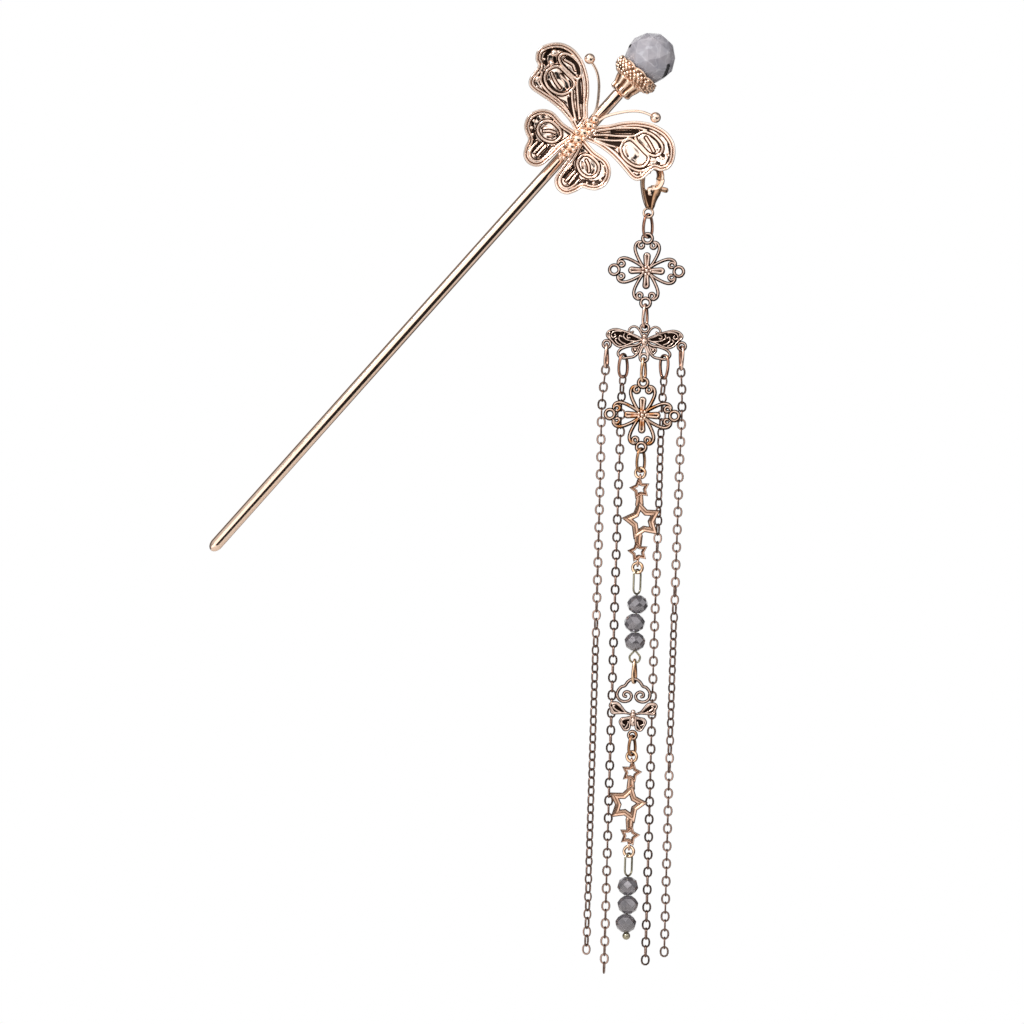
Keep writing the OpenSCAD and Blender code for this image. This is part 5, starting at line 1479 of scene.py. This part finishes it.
@dataclass
class Flower:
    """A cast flower: four scrolled open petals, four eyes, ribbed inner petals and a heart of beads."""

    node: str
    slot: str
    finish: MetalFinish
    reach: float = 6.45
    eye: float = 2.6
    wire: float = 0.7
    depth: float = 0.8
    rib: float = 0.72

    def open_petal(self) -> Shape:
        """Right half of the upper petal: a wire from the heart outwards, wound inwards at its end."""
        turn = np.radians(90 - 26 * np.arange(0, 11.5, 0.5))
        scroll = SCROLL_AT + polar(turn, np.linspace(*SCROLL_RADII, len(turn)))
        return cast_wire(np.vstack([catmull(PETAL, 6)[:-1], scroll]) * self.reach, self.wire, self.depth)

    def inner_petal(self) -> Shape:
        """The upper ribbed petal: one fat rib that runs out, round the end and back, over a shade-painted
        base.
        """
        half, foot_half = 0.42, 0.26
        low, high = 0.15 * self.reach, 0.455 * self.reach
        bow = polar(np.radians(np.arange(0, 181, 20)), half) + [0, high]
        legs = np.linspace(low, high - 0.1, 7)
        right = np.stack([np.interp(legs, [low, high], [foot_half, half]), legs], axis=1)
        line = np.vstack([right, bow, (right * [-1, 1])[::-1]])
        rib = cast_wire(line, self.rib, 1.2, section=RIB)
        middle = flat_path(np.stack([np.zeros(5), np.linspace(low, high, 5)], axis=1))
        return Shape.joined([rib, swept(middle, circle_profile(0.3, 8), round_end=0.2, shade=np.ones(8))])

    def heart(self) -> Shape:
        """The heart: a low button with a ring of granules round a larger one."""
        ring = flat_path(circle((0, 0), 0.78, 7), -0.62)
        profile = np.array([[1.1, -0.4], [1.15, 0.3], [1.0, 0.55]])
        button = revolved(profile, 24).moved(spin(math.pi / 2, "x"))
        # The button under the granules is painted dark as shade.
        button.painted_shade[:] = 1.0
        grains = balls(np.vstack([ring, [[0, -0.72, 0]]]), np.concatenate([np.full(7, 0.34), [0.42]]), 12)
        return Shape.joined([button, grains])

    def build(self, shop: Workshop) -> None:
        """Makes the flower as one casting."""
        half = self.open_petal()
        eye = cast_wire(circle((0, self.reach), (self.eye - self.wire) / 2), self.wire, self.depth,
                        closed=True)
        quarter = Shape.joined([half, half.mirrored(), eye, self.inner_petal()])
        turned = [quarter.moved(spin(k * math.pi / 2, "y")) for k in range(4)]
        shape = Shape.joined([*turned, self.heart()]).moved(offset=tassel_place(node_middle(self.node)[2]))
        shop.piece(f"filigree_{self.node}", shape, self.finish, Body.TASSEL, self.slot, (self.node,))


@dataclass
class FiligreeButterfly:
    """The wide cast butterfly that carries the chains: relief forewings, loops, antennae and eyes."""

    half_span: float = 7.5
    top_eye: float = 2.25
    low_eye: float = 3.7
    small_eye: float = 2.2
    outer_drop: float = 1.2
    outer_radius: float = 0.75
    wire: float = 0.62
    depth: float = 0.8
    # Courses in shares of the half span: forewing, its scrollwork, lower loop, its teardrop, antenna.
    forewing: tuple = (
        (0.06, 0.03), (0.30, 0.15), (0.55, 0.235), (0.76, 0.28), (0.93, 0.24), (1.03, 0.14), (1.02, 0.03),
        (0.90, -0.08), (0.80, -0.19), (0.66, -0.25), (0.50, -0.22), (0.30, -0.13), (0.06, -0.04))
    scrolls: tuple = (
        ((0.14, 0.02), (0.26, 0.07), (0.38, 0.12), (0.46, 0.09), (0.45, 0.02), (0.39, 0.03)),
        ((0.24, -0.06), (0.38, -0.05), (0.50, -0.01), (0.56, 0.06), (0.54, 0.14)),
        ((0.50, -0.14), (0.60, -0.10), (0.68, -0.02), (0.66, 0.07), (0.60, 0.05)),
        ((0.62, 0.19), (0.74, 0.20), (0.85, 0.16), (0.89, 0.08), (0.84, 0.02), (0.77, 0.06), (0.80, 0.11)),
        ((0.62, -0.17), (0.72, -0.12), (0.78, -0.04), (0.74, 0.0)),
        ((0.93, 0.15), (0.95, 0.07), (0.91, 0.0)))
    loop: tuple = (
        (0.08, -0.08), (0.20, -0.16), (0.42, -0.20), (0.60, -0.27), (0.69, -0.37), (0.66, -0.47),
        (0.55, -0.52), (0.40, -0.50), (0.27, -0.47), (0.16, -0.36), (0.08, -0.2))
    teardrop: tuple = (
        (0.09, -0.13), (0.20, -0.20), (0.31, -0.21), (0.35, -0.28), (0.31, -0.37), (0.23, -0.41),
        (0.16, -0.34))
    antenna: tuple = (
        (0.05, 0.06), (0.14, 0.24), (0.25, 0.33), (0.36, 0.31), (0.42, 0.23), (0.38, 0.16), (0.31, 0.19))

    def course(self, points: tuple, closed: bool = False) -> np.ndarray:
        """A smooth line through a table of shares."""
        return catmull(np.array(points) * self.half_span, 8, closed)

    def half(self) -> Shape:
        """The right half: forewing, loop with its teardrop, antenna and outer eye."""
        outline = self.course(self.forewing, closed=True)
        lines = [(self.course(s), 0.22) for s in self.scrolls]
        wing = relief_plate(outline, np.array([0.62, 0.02]) * self.half_span, lines, -0.05, 0.42, 0.36,
                            rim=0.25)
        drop = self.course(self.teardrop, closed=True)
        web = relief_plate(drop, np.array([0.22, -0.28]) * self.half_span, [], -0.05, 0.34, 0.3, rim=0.22)
        seed = balls(np.array([[0.24, -0.04, -0.285]]) * self.half_span, np.array([0.28]), 12)
        return Shape.joined([
            wing, web, seed,
            cast_wire(self.course(self.loop), self.wire, self.depth),
            cast_wire(self.course(self.antenna), 0.8 * self.wire, 0.7 * self.depth),
            cast_wire(circle((self.half_span, -self.outer_drop), self.outer_radius), self.wire, self.depth,
                      closed=True),
        ])

    def build(self, shop: Workshop) -> None:
        """Makes the butterfly as one casting."""
        half = self.half()
        eye = (self.small_eye - self.wire) / 2
        leg = catmull(np.array([[0.05, -0.6], [0.3, -1.6], [0.62, -2.5], [0.86, -3.3]]), 5)
        leg = cast_wire(leg, 0.62, self.depth, section=ROUND_WIRE)
        middles = np.array([[0, -0.35, 0.5], [0, -0.3, -0.45], [0, -0.1, -1.3]])
        body = balls(middles, np.array([0.62, 0.8, 0.5]), 20)
        shape = Shape.joined([
            half, half.mirrored(), body, leg, leg.mirrored(),
            cast_wire(circle((0, self.top_eye), eye), self.wire, self.depth, closed=True),
            cast_wire(circle((0, -self.low_eye), eye), self.wire, self.depth, closed=True),
        ])
        height = node_box("filigree_butterfly")[1][2] - self.top_eye - self.small_eye / 2
        shop.piece("filigree_moth", shape.moved(offset=tassel_place(height)), shop.finishes.filigree,
                   Body.TASSEL, "rose_gold", ("filigree_butterfly",))


@dataclass
class ScrollConnector:
    """The cast scroll piece: an open cloud with curled ends over a small butterfly with relief wings."""

    height: float = 6.95
    drop: float = 4.3
    small_eye: float = 2.2
    wire: float = 0.66
    depth: float = 0.8
    # Right halves as shares of the height: the cloud, the small wings and their veins.
    cloud: tuple = (
        (0.00, 1.00), (0.09, 0.98), (0.18, 0.91), (0.26, 0.80), (0.36, 0.76), (0.45, 0.65), (0.475, 0.52),
        (0.42, 0.41), (0.32, 0.35), (0.20, 0.35), (0.10, 0.40), (0.06, 0.50), (0.10, 0.59), (0.19, 0.63),
        (0.27, 0.59), (0.28, 0.51), (0.22, 0.49))
    forewing: tuple = (
        (0.05, 0.01), (0.20, 0.08), (0.30, 0.20), (0.40, 0.31), (0.53, 0.35), (0.66, 0.32), (0.71, 0.22),
        (0.67, 0.12), (0.66, 0.02), (0.58, -0.04), (0.42, -0.03), (0.25, -0.02), (0.05, -0.04))
    fore_veins: tuple = (
        ((0.14, 0.02), (0.28, 0.10), (0.38, 0.20), (0.50, 0.28), (0.60, 0.26)),
        ((0.30, 0.01), (0.42, 0.06), (0.52, 0.12), (0.58, 0.19), (0.54, 0.22)),
        ((0.46, 0.01), (0.56, 0.04), (0.61, 0.11), (0.63, 0.16)))
    hindwing: tuple = (
        (0.05, -0.06), (0.20, -0.09), (0.34, -0.12), (0.41, -0.24), (0.35, -0.38), (0.26, -0.50),
        (0.14, -0.50), (0.06, -0.42), (0.04, -0.2))
    hind_veins: tuple = (
        ((0.12, -0.14), (0.22, -0.15), (0.31, -0.20), (0.31, -0.29), (0.24, -0.33)),
        ((0.13, -0.24), (0.16, -0.34), (0.22, -0.42)))

    def course(self, points: tuple, closed: bool = False) -> np.ndarray:
        """A smooth line through a table of shares."""
        return catmull(np.array(points) * self.height, 8, closed)

    def half(self) -> Shape:
        """The right half of the cloud and of the small butterfly."""
        fore = [(self.course(v), 0.25) for v in self.fore_veins]
        hind = [(self.course(v), 0.24) for v in self.hind_veins]
        return Shape.joined([
            cast_wire(self.course(self.cloud), self.wire, self.depth),
            relief_plate(self.course(self.forewing, True), np.array([0.45, 0.13]) * self.height, fore, -0.1,
                         0.36, 0.36),
            relief_plate(self.course(self.hindwing, True), np.array([0.2, -0.29]) * self.height, hind, -0.1,
                         0.36, 0.36),
        ])

    def build(self, shop: Workshop) -> None:
        """Makes the piece as one casting."""
        half = self.half()
        eye = (self.small_eye - self.wire) / 2
        chest = balls(np.array([[0, -0.3, 0.35], [0, -0.25, -0.3]]), np.array([0.5, 0.62]), 18)
        tail = balls(np.zeros((1, 3)), np.array([1.0]), 20)
        tail = tail.moved(np.diag([0.52, 0.55, 0.95]), (0, -0.25, -1.6))
        shape = Shape.joined([half, half.mirrored(), chest, tail])
        ring = cast_wire(circle((0, -self.drop), eye), self.wire, self.depth, closed=True)
        low = node_box("scroll_connector")[0][2] + self.drop + self.small_eye / 2
        for name, part, finish in (("scroll_piece", shape, shop.finishes.filigree),
                                   ("scroll_eye", ring, shop.finishes.filigree_gold)):
            shop.piece(name, part.moved(offset=tassel_place(low)), finish, Body.TASSEL, "rose_gold",
                       ("scroll_connector",))


@dataclass
class StarCharm:
    """Three open stars in a row, their bars grooved, with an eye at each end that faces sideways."""

    node: str
    side: int
    step: float = 6.3
    large: float = 4.2
    small: float = 2.2
    thickness: float = 1.3
    eye_reach: float = 2.2
    eye: float = 1.7
    eye_wire: float = 0.45
    turn: float = 103.0
    # Widths of the bars between the stars and of the shanks to the eyes, and their taper outwards.
    bar_width: float = 1.72
    shank_width: float = 0.85
    taper: float = 0.8

    def outline(self, radius: float, waist: float) -> np.ndarray:
        """A star's outline: ten corners, in turn at the radius and its waist, with five steps an edge."""
        turn = np.radians(self.turn + 36 * np.arange(10))
        corners = polar(turn, radius * np.where(np.arange(10) % 2 == 0, 1, waist))
        share = (np.arange(5) / 5)[None, :, None]
        return (corners[:, None] + (np.roll(corners, -1, axis=0) - corners)[:, None] * share).reshape(-1, 2)

    def star(self, radius: float, middle: tuple[float, float]) -> Shape:
        """An open star: its section runs from the edge over two ridges and a groove to the hole."""
        outer, inner = self.outline(radius, 0.57), self.outline(0.43 * radius, 0.58)
        # Share of the way in from the outer edge, height as a share of half the thickness, and painted
        # shade.
        section = np.array([
            [0, -0.3, 0.9], [0.05, -0.8, 0.75], [0.17, -1, 0.15], [0.36, -0.96, 0.05], [0.5, -0.74, 0.55],
            [0.64, -0.96, 0.05], [0.83, -1, 0.15], [0.95, -0.8, 0.75], [1, -0.3, 0.9], [1, 0.6, 0.7],
            [0.85, 1, 0.1], [0.5, 0.92, 0.1], [0.15, 1, 0.1], [0, 0.6, 0.7]])
        flat = outer + (inner - outer) * section[:, 0, None, None] + np.array(middle)
        depth = np.broadcast_to(section[:, 1, None] * self.thickness / 2, flat.shape[:2])
        rings = np.stack([flat[..., 0], depth, flat[..., 1]], axis=2)
        return skin(rings, loop=True, painted_shade=np.broadcast_to(section[:, 2, None], flat.shape[:2]))

    def bars(self, low: float, high: float, width: float) -> list[Shape]:
        """Two grooved bars between two heights, one upwards and its like downwards."""
        scale = np.linspace(1, self.taper, 6)
        line = np.stack([np.zeros(6), np.linspace(low, high, 6)], axis=1)
        return [cast_wire(line * [1, way], width, self.thickness * 0.96, section=GROOVED_BAR, scale=scale)
                for way in (1, -1)]

    def build(self, shop: Workshop) -> None:
        """Makes the charm as one casting."""
        lift = self.step + self.eye_reach
        shank = self.step + 0.45 * self.small
        shape = Shape.joined([
            self.star(self.large, (0.16 * self.large, 0.0)),
            self.star(self.small, (0.0, self.step)),
            self.star(self.small, (0.0, -self.step)),
            *self.bars(0.5 * self.step, 0.78 * self.step, self.bar_width),
            *self.bars(shank, lift - self.eye / 2 + 0.15, self.shank_width),
        ])
        if self.side < 0:
            shape = shape.mirrored()
        eye_radius = (self.eye - self.eye_wire) / 2
        eyes = [wire_ring(eye_radius, self.eye_wire, np.array([0, 0, z]), 90) for z in (-lift, lift)]
        shape = Shape.joined([shape, *eyes]).moved(offset=tassel_place(node_middle(self.node)[2]))
        shop.piece(self.node.replace("charm", "drop"), shape, shop.finishes.satin, Body.TASSEL,
                   "satin_gold", (self.node,), crease=40)


# A loop that is drawn in to a point at its top, 1.1 mm from its middle to its foot.
TEARDROP = np.array([
    [0, 1.3], [0.5, 0.85], [1.04, 0.1], [0.8, -0.78], [0, -1.1], [-0.8, -0.78], [-1.04, 0.1], [-0.5, 0.85]])


@dataclass
class EyeWire:
    """A wire with a long loop above its beads, and a teardrop loop or a ball below them."""

    node: str
    loop_height: float
    low_loop: float
    loop_width: float = 2.6
    wire: float = 0.42
    ball: float = 0.8
    turned: float = 50.0

    def build(self, shop: Workshop) -> None:
        """Makes the wire as one piece."""
        low, high = node_box(self.node)
        place = tassel_place(0.0)
        section = circle_profile(self.wire / 2, 10)
        loop = swept(stadium(self.loop_width - self.wire, self.loop_height - self.wire, 48), section,
                     closed=True)
        parts = [loop.moved(spin(math.radians(self.turned)), place + [0, 0, high[2] - self.loop_height / 2])]
        top = high[2] - self.loop_height + self.wire / 2
        end = low[2] + (2 * self.low_loop + self.wire if self.low_loop else self.ball)
        shank = np.array([[0, 0, top], [0, 0, (top + end) / 2], [0, 0, end]]) + place
        parts.append(swept(shank, section))
        if self.low_loop:
            middle = low[2] + self.low_loop + self.wire / 2
            drop = flat_path(catmull(TEARDROP * self.low_loop / 1.1, 6, closed=True))
            parts.append(swept(drop, section, closed=True).moved(offset=place + [0, 0, middle]))
        else:
            parts.append(balls(place[None] + [0, 0, low[2] + self.ball], np.array([self.ball]), 24))
        shop.piece(self.node.replace("eye", "looped"), Shape.joined(parts), shop.finishes.wire, Body.TASSEL,
                   "wire_steel", (self.node,))


@dataclass
class Carried:
    """The CAD nodes whose shape stays, each with its finish."""

    def build(self, nodes: dict[str, bpy.types.Object], shop: Workshop) -> None:
        """Dresses the nodes that no piece stands for."""
        shop.dress(nodes["wing_ring"], shop.finishes.ring)
        for row in ("upper", "lower"):
            for place in (1, 2, 3):
                shop.dress(nodes[f"bead_{row}_{place}"], shop.finishes.smoke)


# Studio


@dataclass(frozen=True)
class Softbox:
    """A bright or dark patch of the studio, seen only in reflections.

    It lies towards a direction, is even within the core and has faded out at the reach, both in degrees from
    its middle. A light below nought is a dark card.
    """

    towards: tuple[float, float, float]
    core: float
    reach: float
    light: float


@dataclass
class Studio:
    """A white studio: soft boxes and dark cards round the piece, a pale table top, a lamp and the camera."""

    base: float = 0.4
    darkest: float = 0.02
    # Where the camera stands in metres, and the photograph's roll in degrees.
    stand: tuple[float, float, float] = (0.02635, -1.1378, -0.03057)
    roll: float = -1.75
    # The place that the lamp is aimed at.
    aim: tuple[float, float, float] = (0.03, 0.0, -0.02)
    # The main box and its neighbours, edge lights all round, dark cards, and the dim room behind the piece.
    boxes: tuple[Softbox, ...] = (
        Softbox((-0.287, -0.927, 0.241), 20, 25, 1.2),
        Softbox((0.134, -0.759, 0.637), 18, 24, 1.1),
        Softbox((-0.604, -0.759, -0.243), 18, 24, 1.1),
        Softbox((-0.70, -0.407, 0.587), 20, 32, 0.3),
        Softbox((-0.2, -0.3, 0.95), 12, 22, 0.9),
        Softbox((-0.85, -0.4, -0.4), 12, 20, 0.9),
        Softbox((0.45, -0.4, -0.8), 10, 18, 0.8),
        Softbox((0.763, -0.087, -0.641), 20, 32, 0.4),
        Softbox((0.75, -0.5, 0.45), 10, 20, 0.9),
        Softbox((0.457, -0.8645, 0.209), 9, 14, 1.0),
        Softbox((-0.127, -0.8645, -0.486), 9, 14, 1.0),
        Softbox((0.224, -0.956, -0.188), 12, 17, -2.0),
        Softbox((0.395, -0.857, -0.331), 13, 18, -2.0),
        Softbox((0.542, -0.707, -0.455), 13, 18, -2.0),
        Softbox((0.0, 1.0, 0.0), 70, 82, -0.33),
        Softbox((0.0, 0.97, 0.24), 26, 40, 0.8),
    )

    def sky(self) -> None:
        """Lights the world: reflections see the patches added up, and the camera sees plain white paper."""
        world = bpy.data.worlds.new("white_studio")
        world.use_nodes = True
        tree = world.node_tree
        tree.nodes.clear()
        direction = add(tree, "ShaderNodeTexCoord").outputs["Generated"]
        total: bpy.types.NodeSocket | float = self.base
        for box in self.boxes:
            axis = np.array(box.towards) / np.linalg.norm(box.towards)
            # The cosine of the angle from the patch's middle, from its reach up to its core.
            facing = add(tree, "ShaderNodeVectorMath", {"Vector": direction, "Vector_001": tuple(axis)},
                         operation="DOT_PRODUCT").outputs["Value"]
            patch = add(tree, RAMP, {
                "Value": facing, "From Min": math.cos(math.radians(box.reach)),
                "From Max": math.cos(math.radians(box.core)), "To Max": box.light,
            }, interpolation_type="SMOOTHSTEP").outputs["Result"]
            total = add(tree, MATHS, {"Value": total, "Value_001": patch}, operation="ADD").outputs["Value"]
        lit = add(tree, MATHS, {"Value": total, "Value_001": self.darkest},
                  operation="MAXIMUM").outputs["Value"]
        seen = add(tree, "ShaderNodeLightPath").outputs["Is Camera Ray"]
        level = add(tree, MIX, {"Factor_Float": seen, "A_Float": lit, "B_Float": 1.0}).outputs["Result"]
        background = add(tree, "ShaderNodeBackground", {"Color": (1, 1, 1, 1), "Strength": level})
        add(tree, "ShaderNodeOutputWorld", {"Surface": background.outputs["Background"]})
        bpy.context.scene.world = world

    def floor(self) -> None:
        """A pale round table top under the tassel, just below the camera's view."""
        # Its rounded edge as radius and height.
        profile = np.array([[1, -160], [216, -160], [219, -161], [220, -164], [1, -164]])
        mesh = revolved(profile, 96).mesh("table_top")
        material, tree = new_material("matt_white_laminate")
        place = add(tree, "ShaderNodeTexCoord").outputs["Object"]
        speck = add(tree, NOISE, {"Vector": place, "Scale": 1 / (2 * MM)}).outputs["Fac"]
        rough = add(tree, RAMP, {"Value": speck, "To Min": 0.5, "To Max": 0.6}).outputs["Result"]
        shader = add(tree, "ShaderNodeBsdfPrincipled", {"Base Color": linear("#f4f2ee"), "Roughness": rough})
        add(tree, "ShaderNodeOutputMaterial", {"Surface": shader.outputs["BSDF"]})
        mesh.materials.append(material)
        table = bpy.data.objects.new("table_top", mesh)
        bpy.context.scene.collection.objects.link(table)

    def lamp(self, name: str, place: tuple[float, float, float], size: float, power: float) -> None:
        """One soft area lamp aimed at the piece."""
        light = bpy.data.lights.new(name, "AREA")
        light.shape, light.size, light.energy = "DISK", size, power
        lamp = bpy.data.objects.new(name, light)
        aim = unit(np.array(self.aim) - np.array(place))
        lamp.location = place
        lamp.rotation_euler = (math.acos(-aim[2]), 0, math.atan2(aim[0], -aim[1]) + math.pi)
        bpy.context.scene.collection.objects.link(lamp)

    def camera(self) -> None:
        """The camera, level in front of the piece and rolled by the photograph's lean."""
        lens = bpy.data.cameras.new("photograph")
        # A long lens on full frame, as for product pictures.
        lens.lens, lens.sensor_width = 200, 36
        camera = bpy.data.objects.new("photograph", lens)
        camera.location = self.stand
        camera.rotation_euler = (math.radians(90), math.radians(self.roll), 0)
        bpy.context.scene.collection.objects.link(camera)
        bpy.context.scene.camera = camera

    def build(self) -> None:
        """Sets up the whole studio."""
        bpy.context.scene.view_settings.view_transform = "Standard"
        self.sky()
        self.floor()
        self.lamp("key", (-0.7, -0.8, 0.9), 0.5, 9)
        self.camera()


def main() -> None:
    """Loads the frame and builds each sub-assembly in order."""
    logging.basicConfig(level=logging.INFO, format="%(name)s %(message)s")
    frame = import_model()
    Studio().build()
    shop = Workshop()
    HairStick().build(shop)
    Butterfly().build(shop)
    JumpRings().build(shop)
    for number, (route, twist) in enumerate(zip(ROUTES, TWISTS), 1):
        ChainStrand(number, np.array(route, float), np.array(twist, float)).build(shop)
    CupCone().build(shop)
    CrownCap().build(shop)
    CutCrystal().build(shop)
    Clasp().build(frame["nodes"], shop)
    for node, slot, finish, wire in (("flower_upper", "rose_gold", shop.finishes.filigree, 0.7),
                                     ("flower_lower", "pale_gold", shop.finishes.filigree_gold, 0.78)):
        Flower(node, slot, finish, wire=wire).build(shop)
    FiligreeButterfly().build(shop)
    ScrollConnector().build(shop)
    StarCharm("star_charm_upper", 1).build(shop)
    StarCharm("star_charm_lower", -1).build(shop)
    EyeWire("eye_wire_upper", 5.3, 1.1).build(shop)
    EyeWire("eye_wire_lower", 4.9, 0.0).build(shop)
    Carried().build(frame["nodes"], shop)


if __name__ == "__main__":
    main()
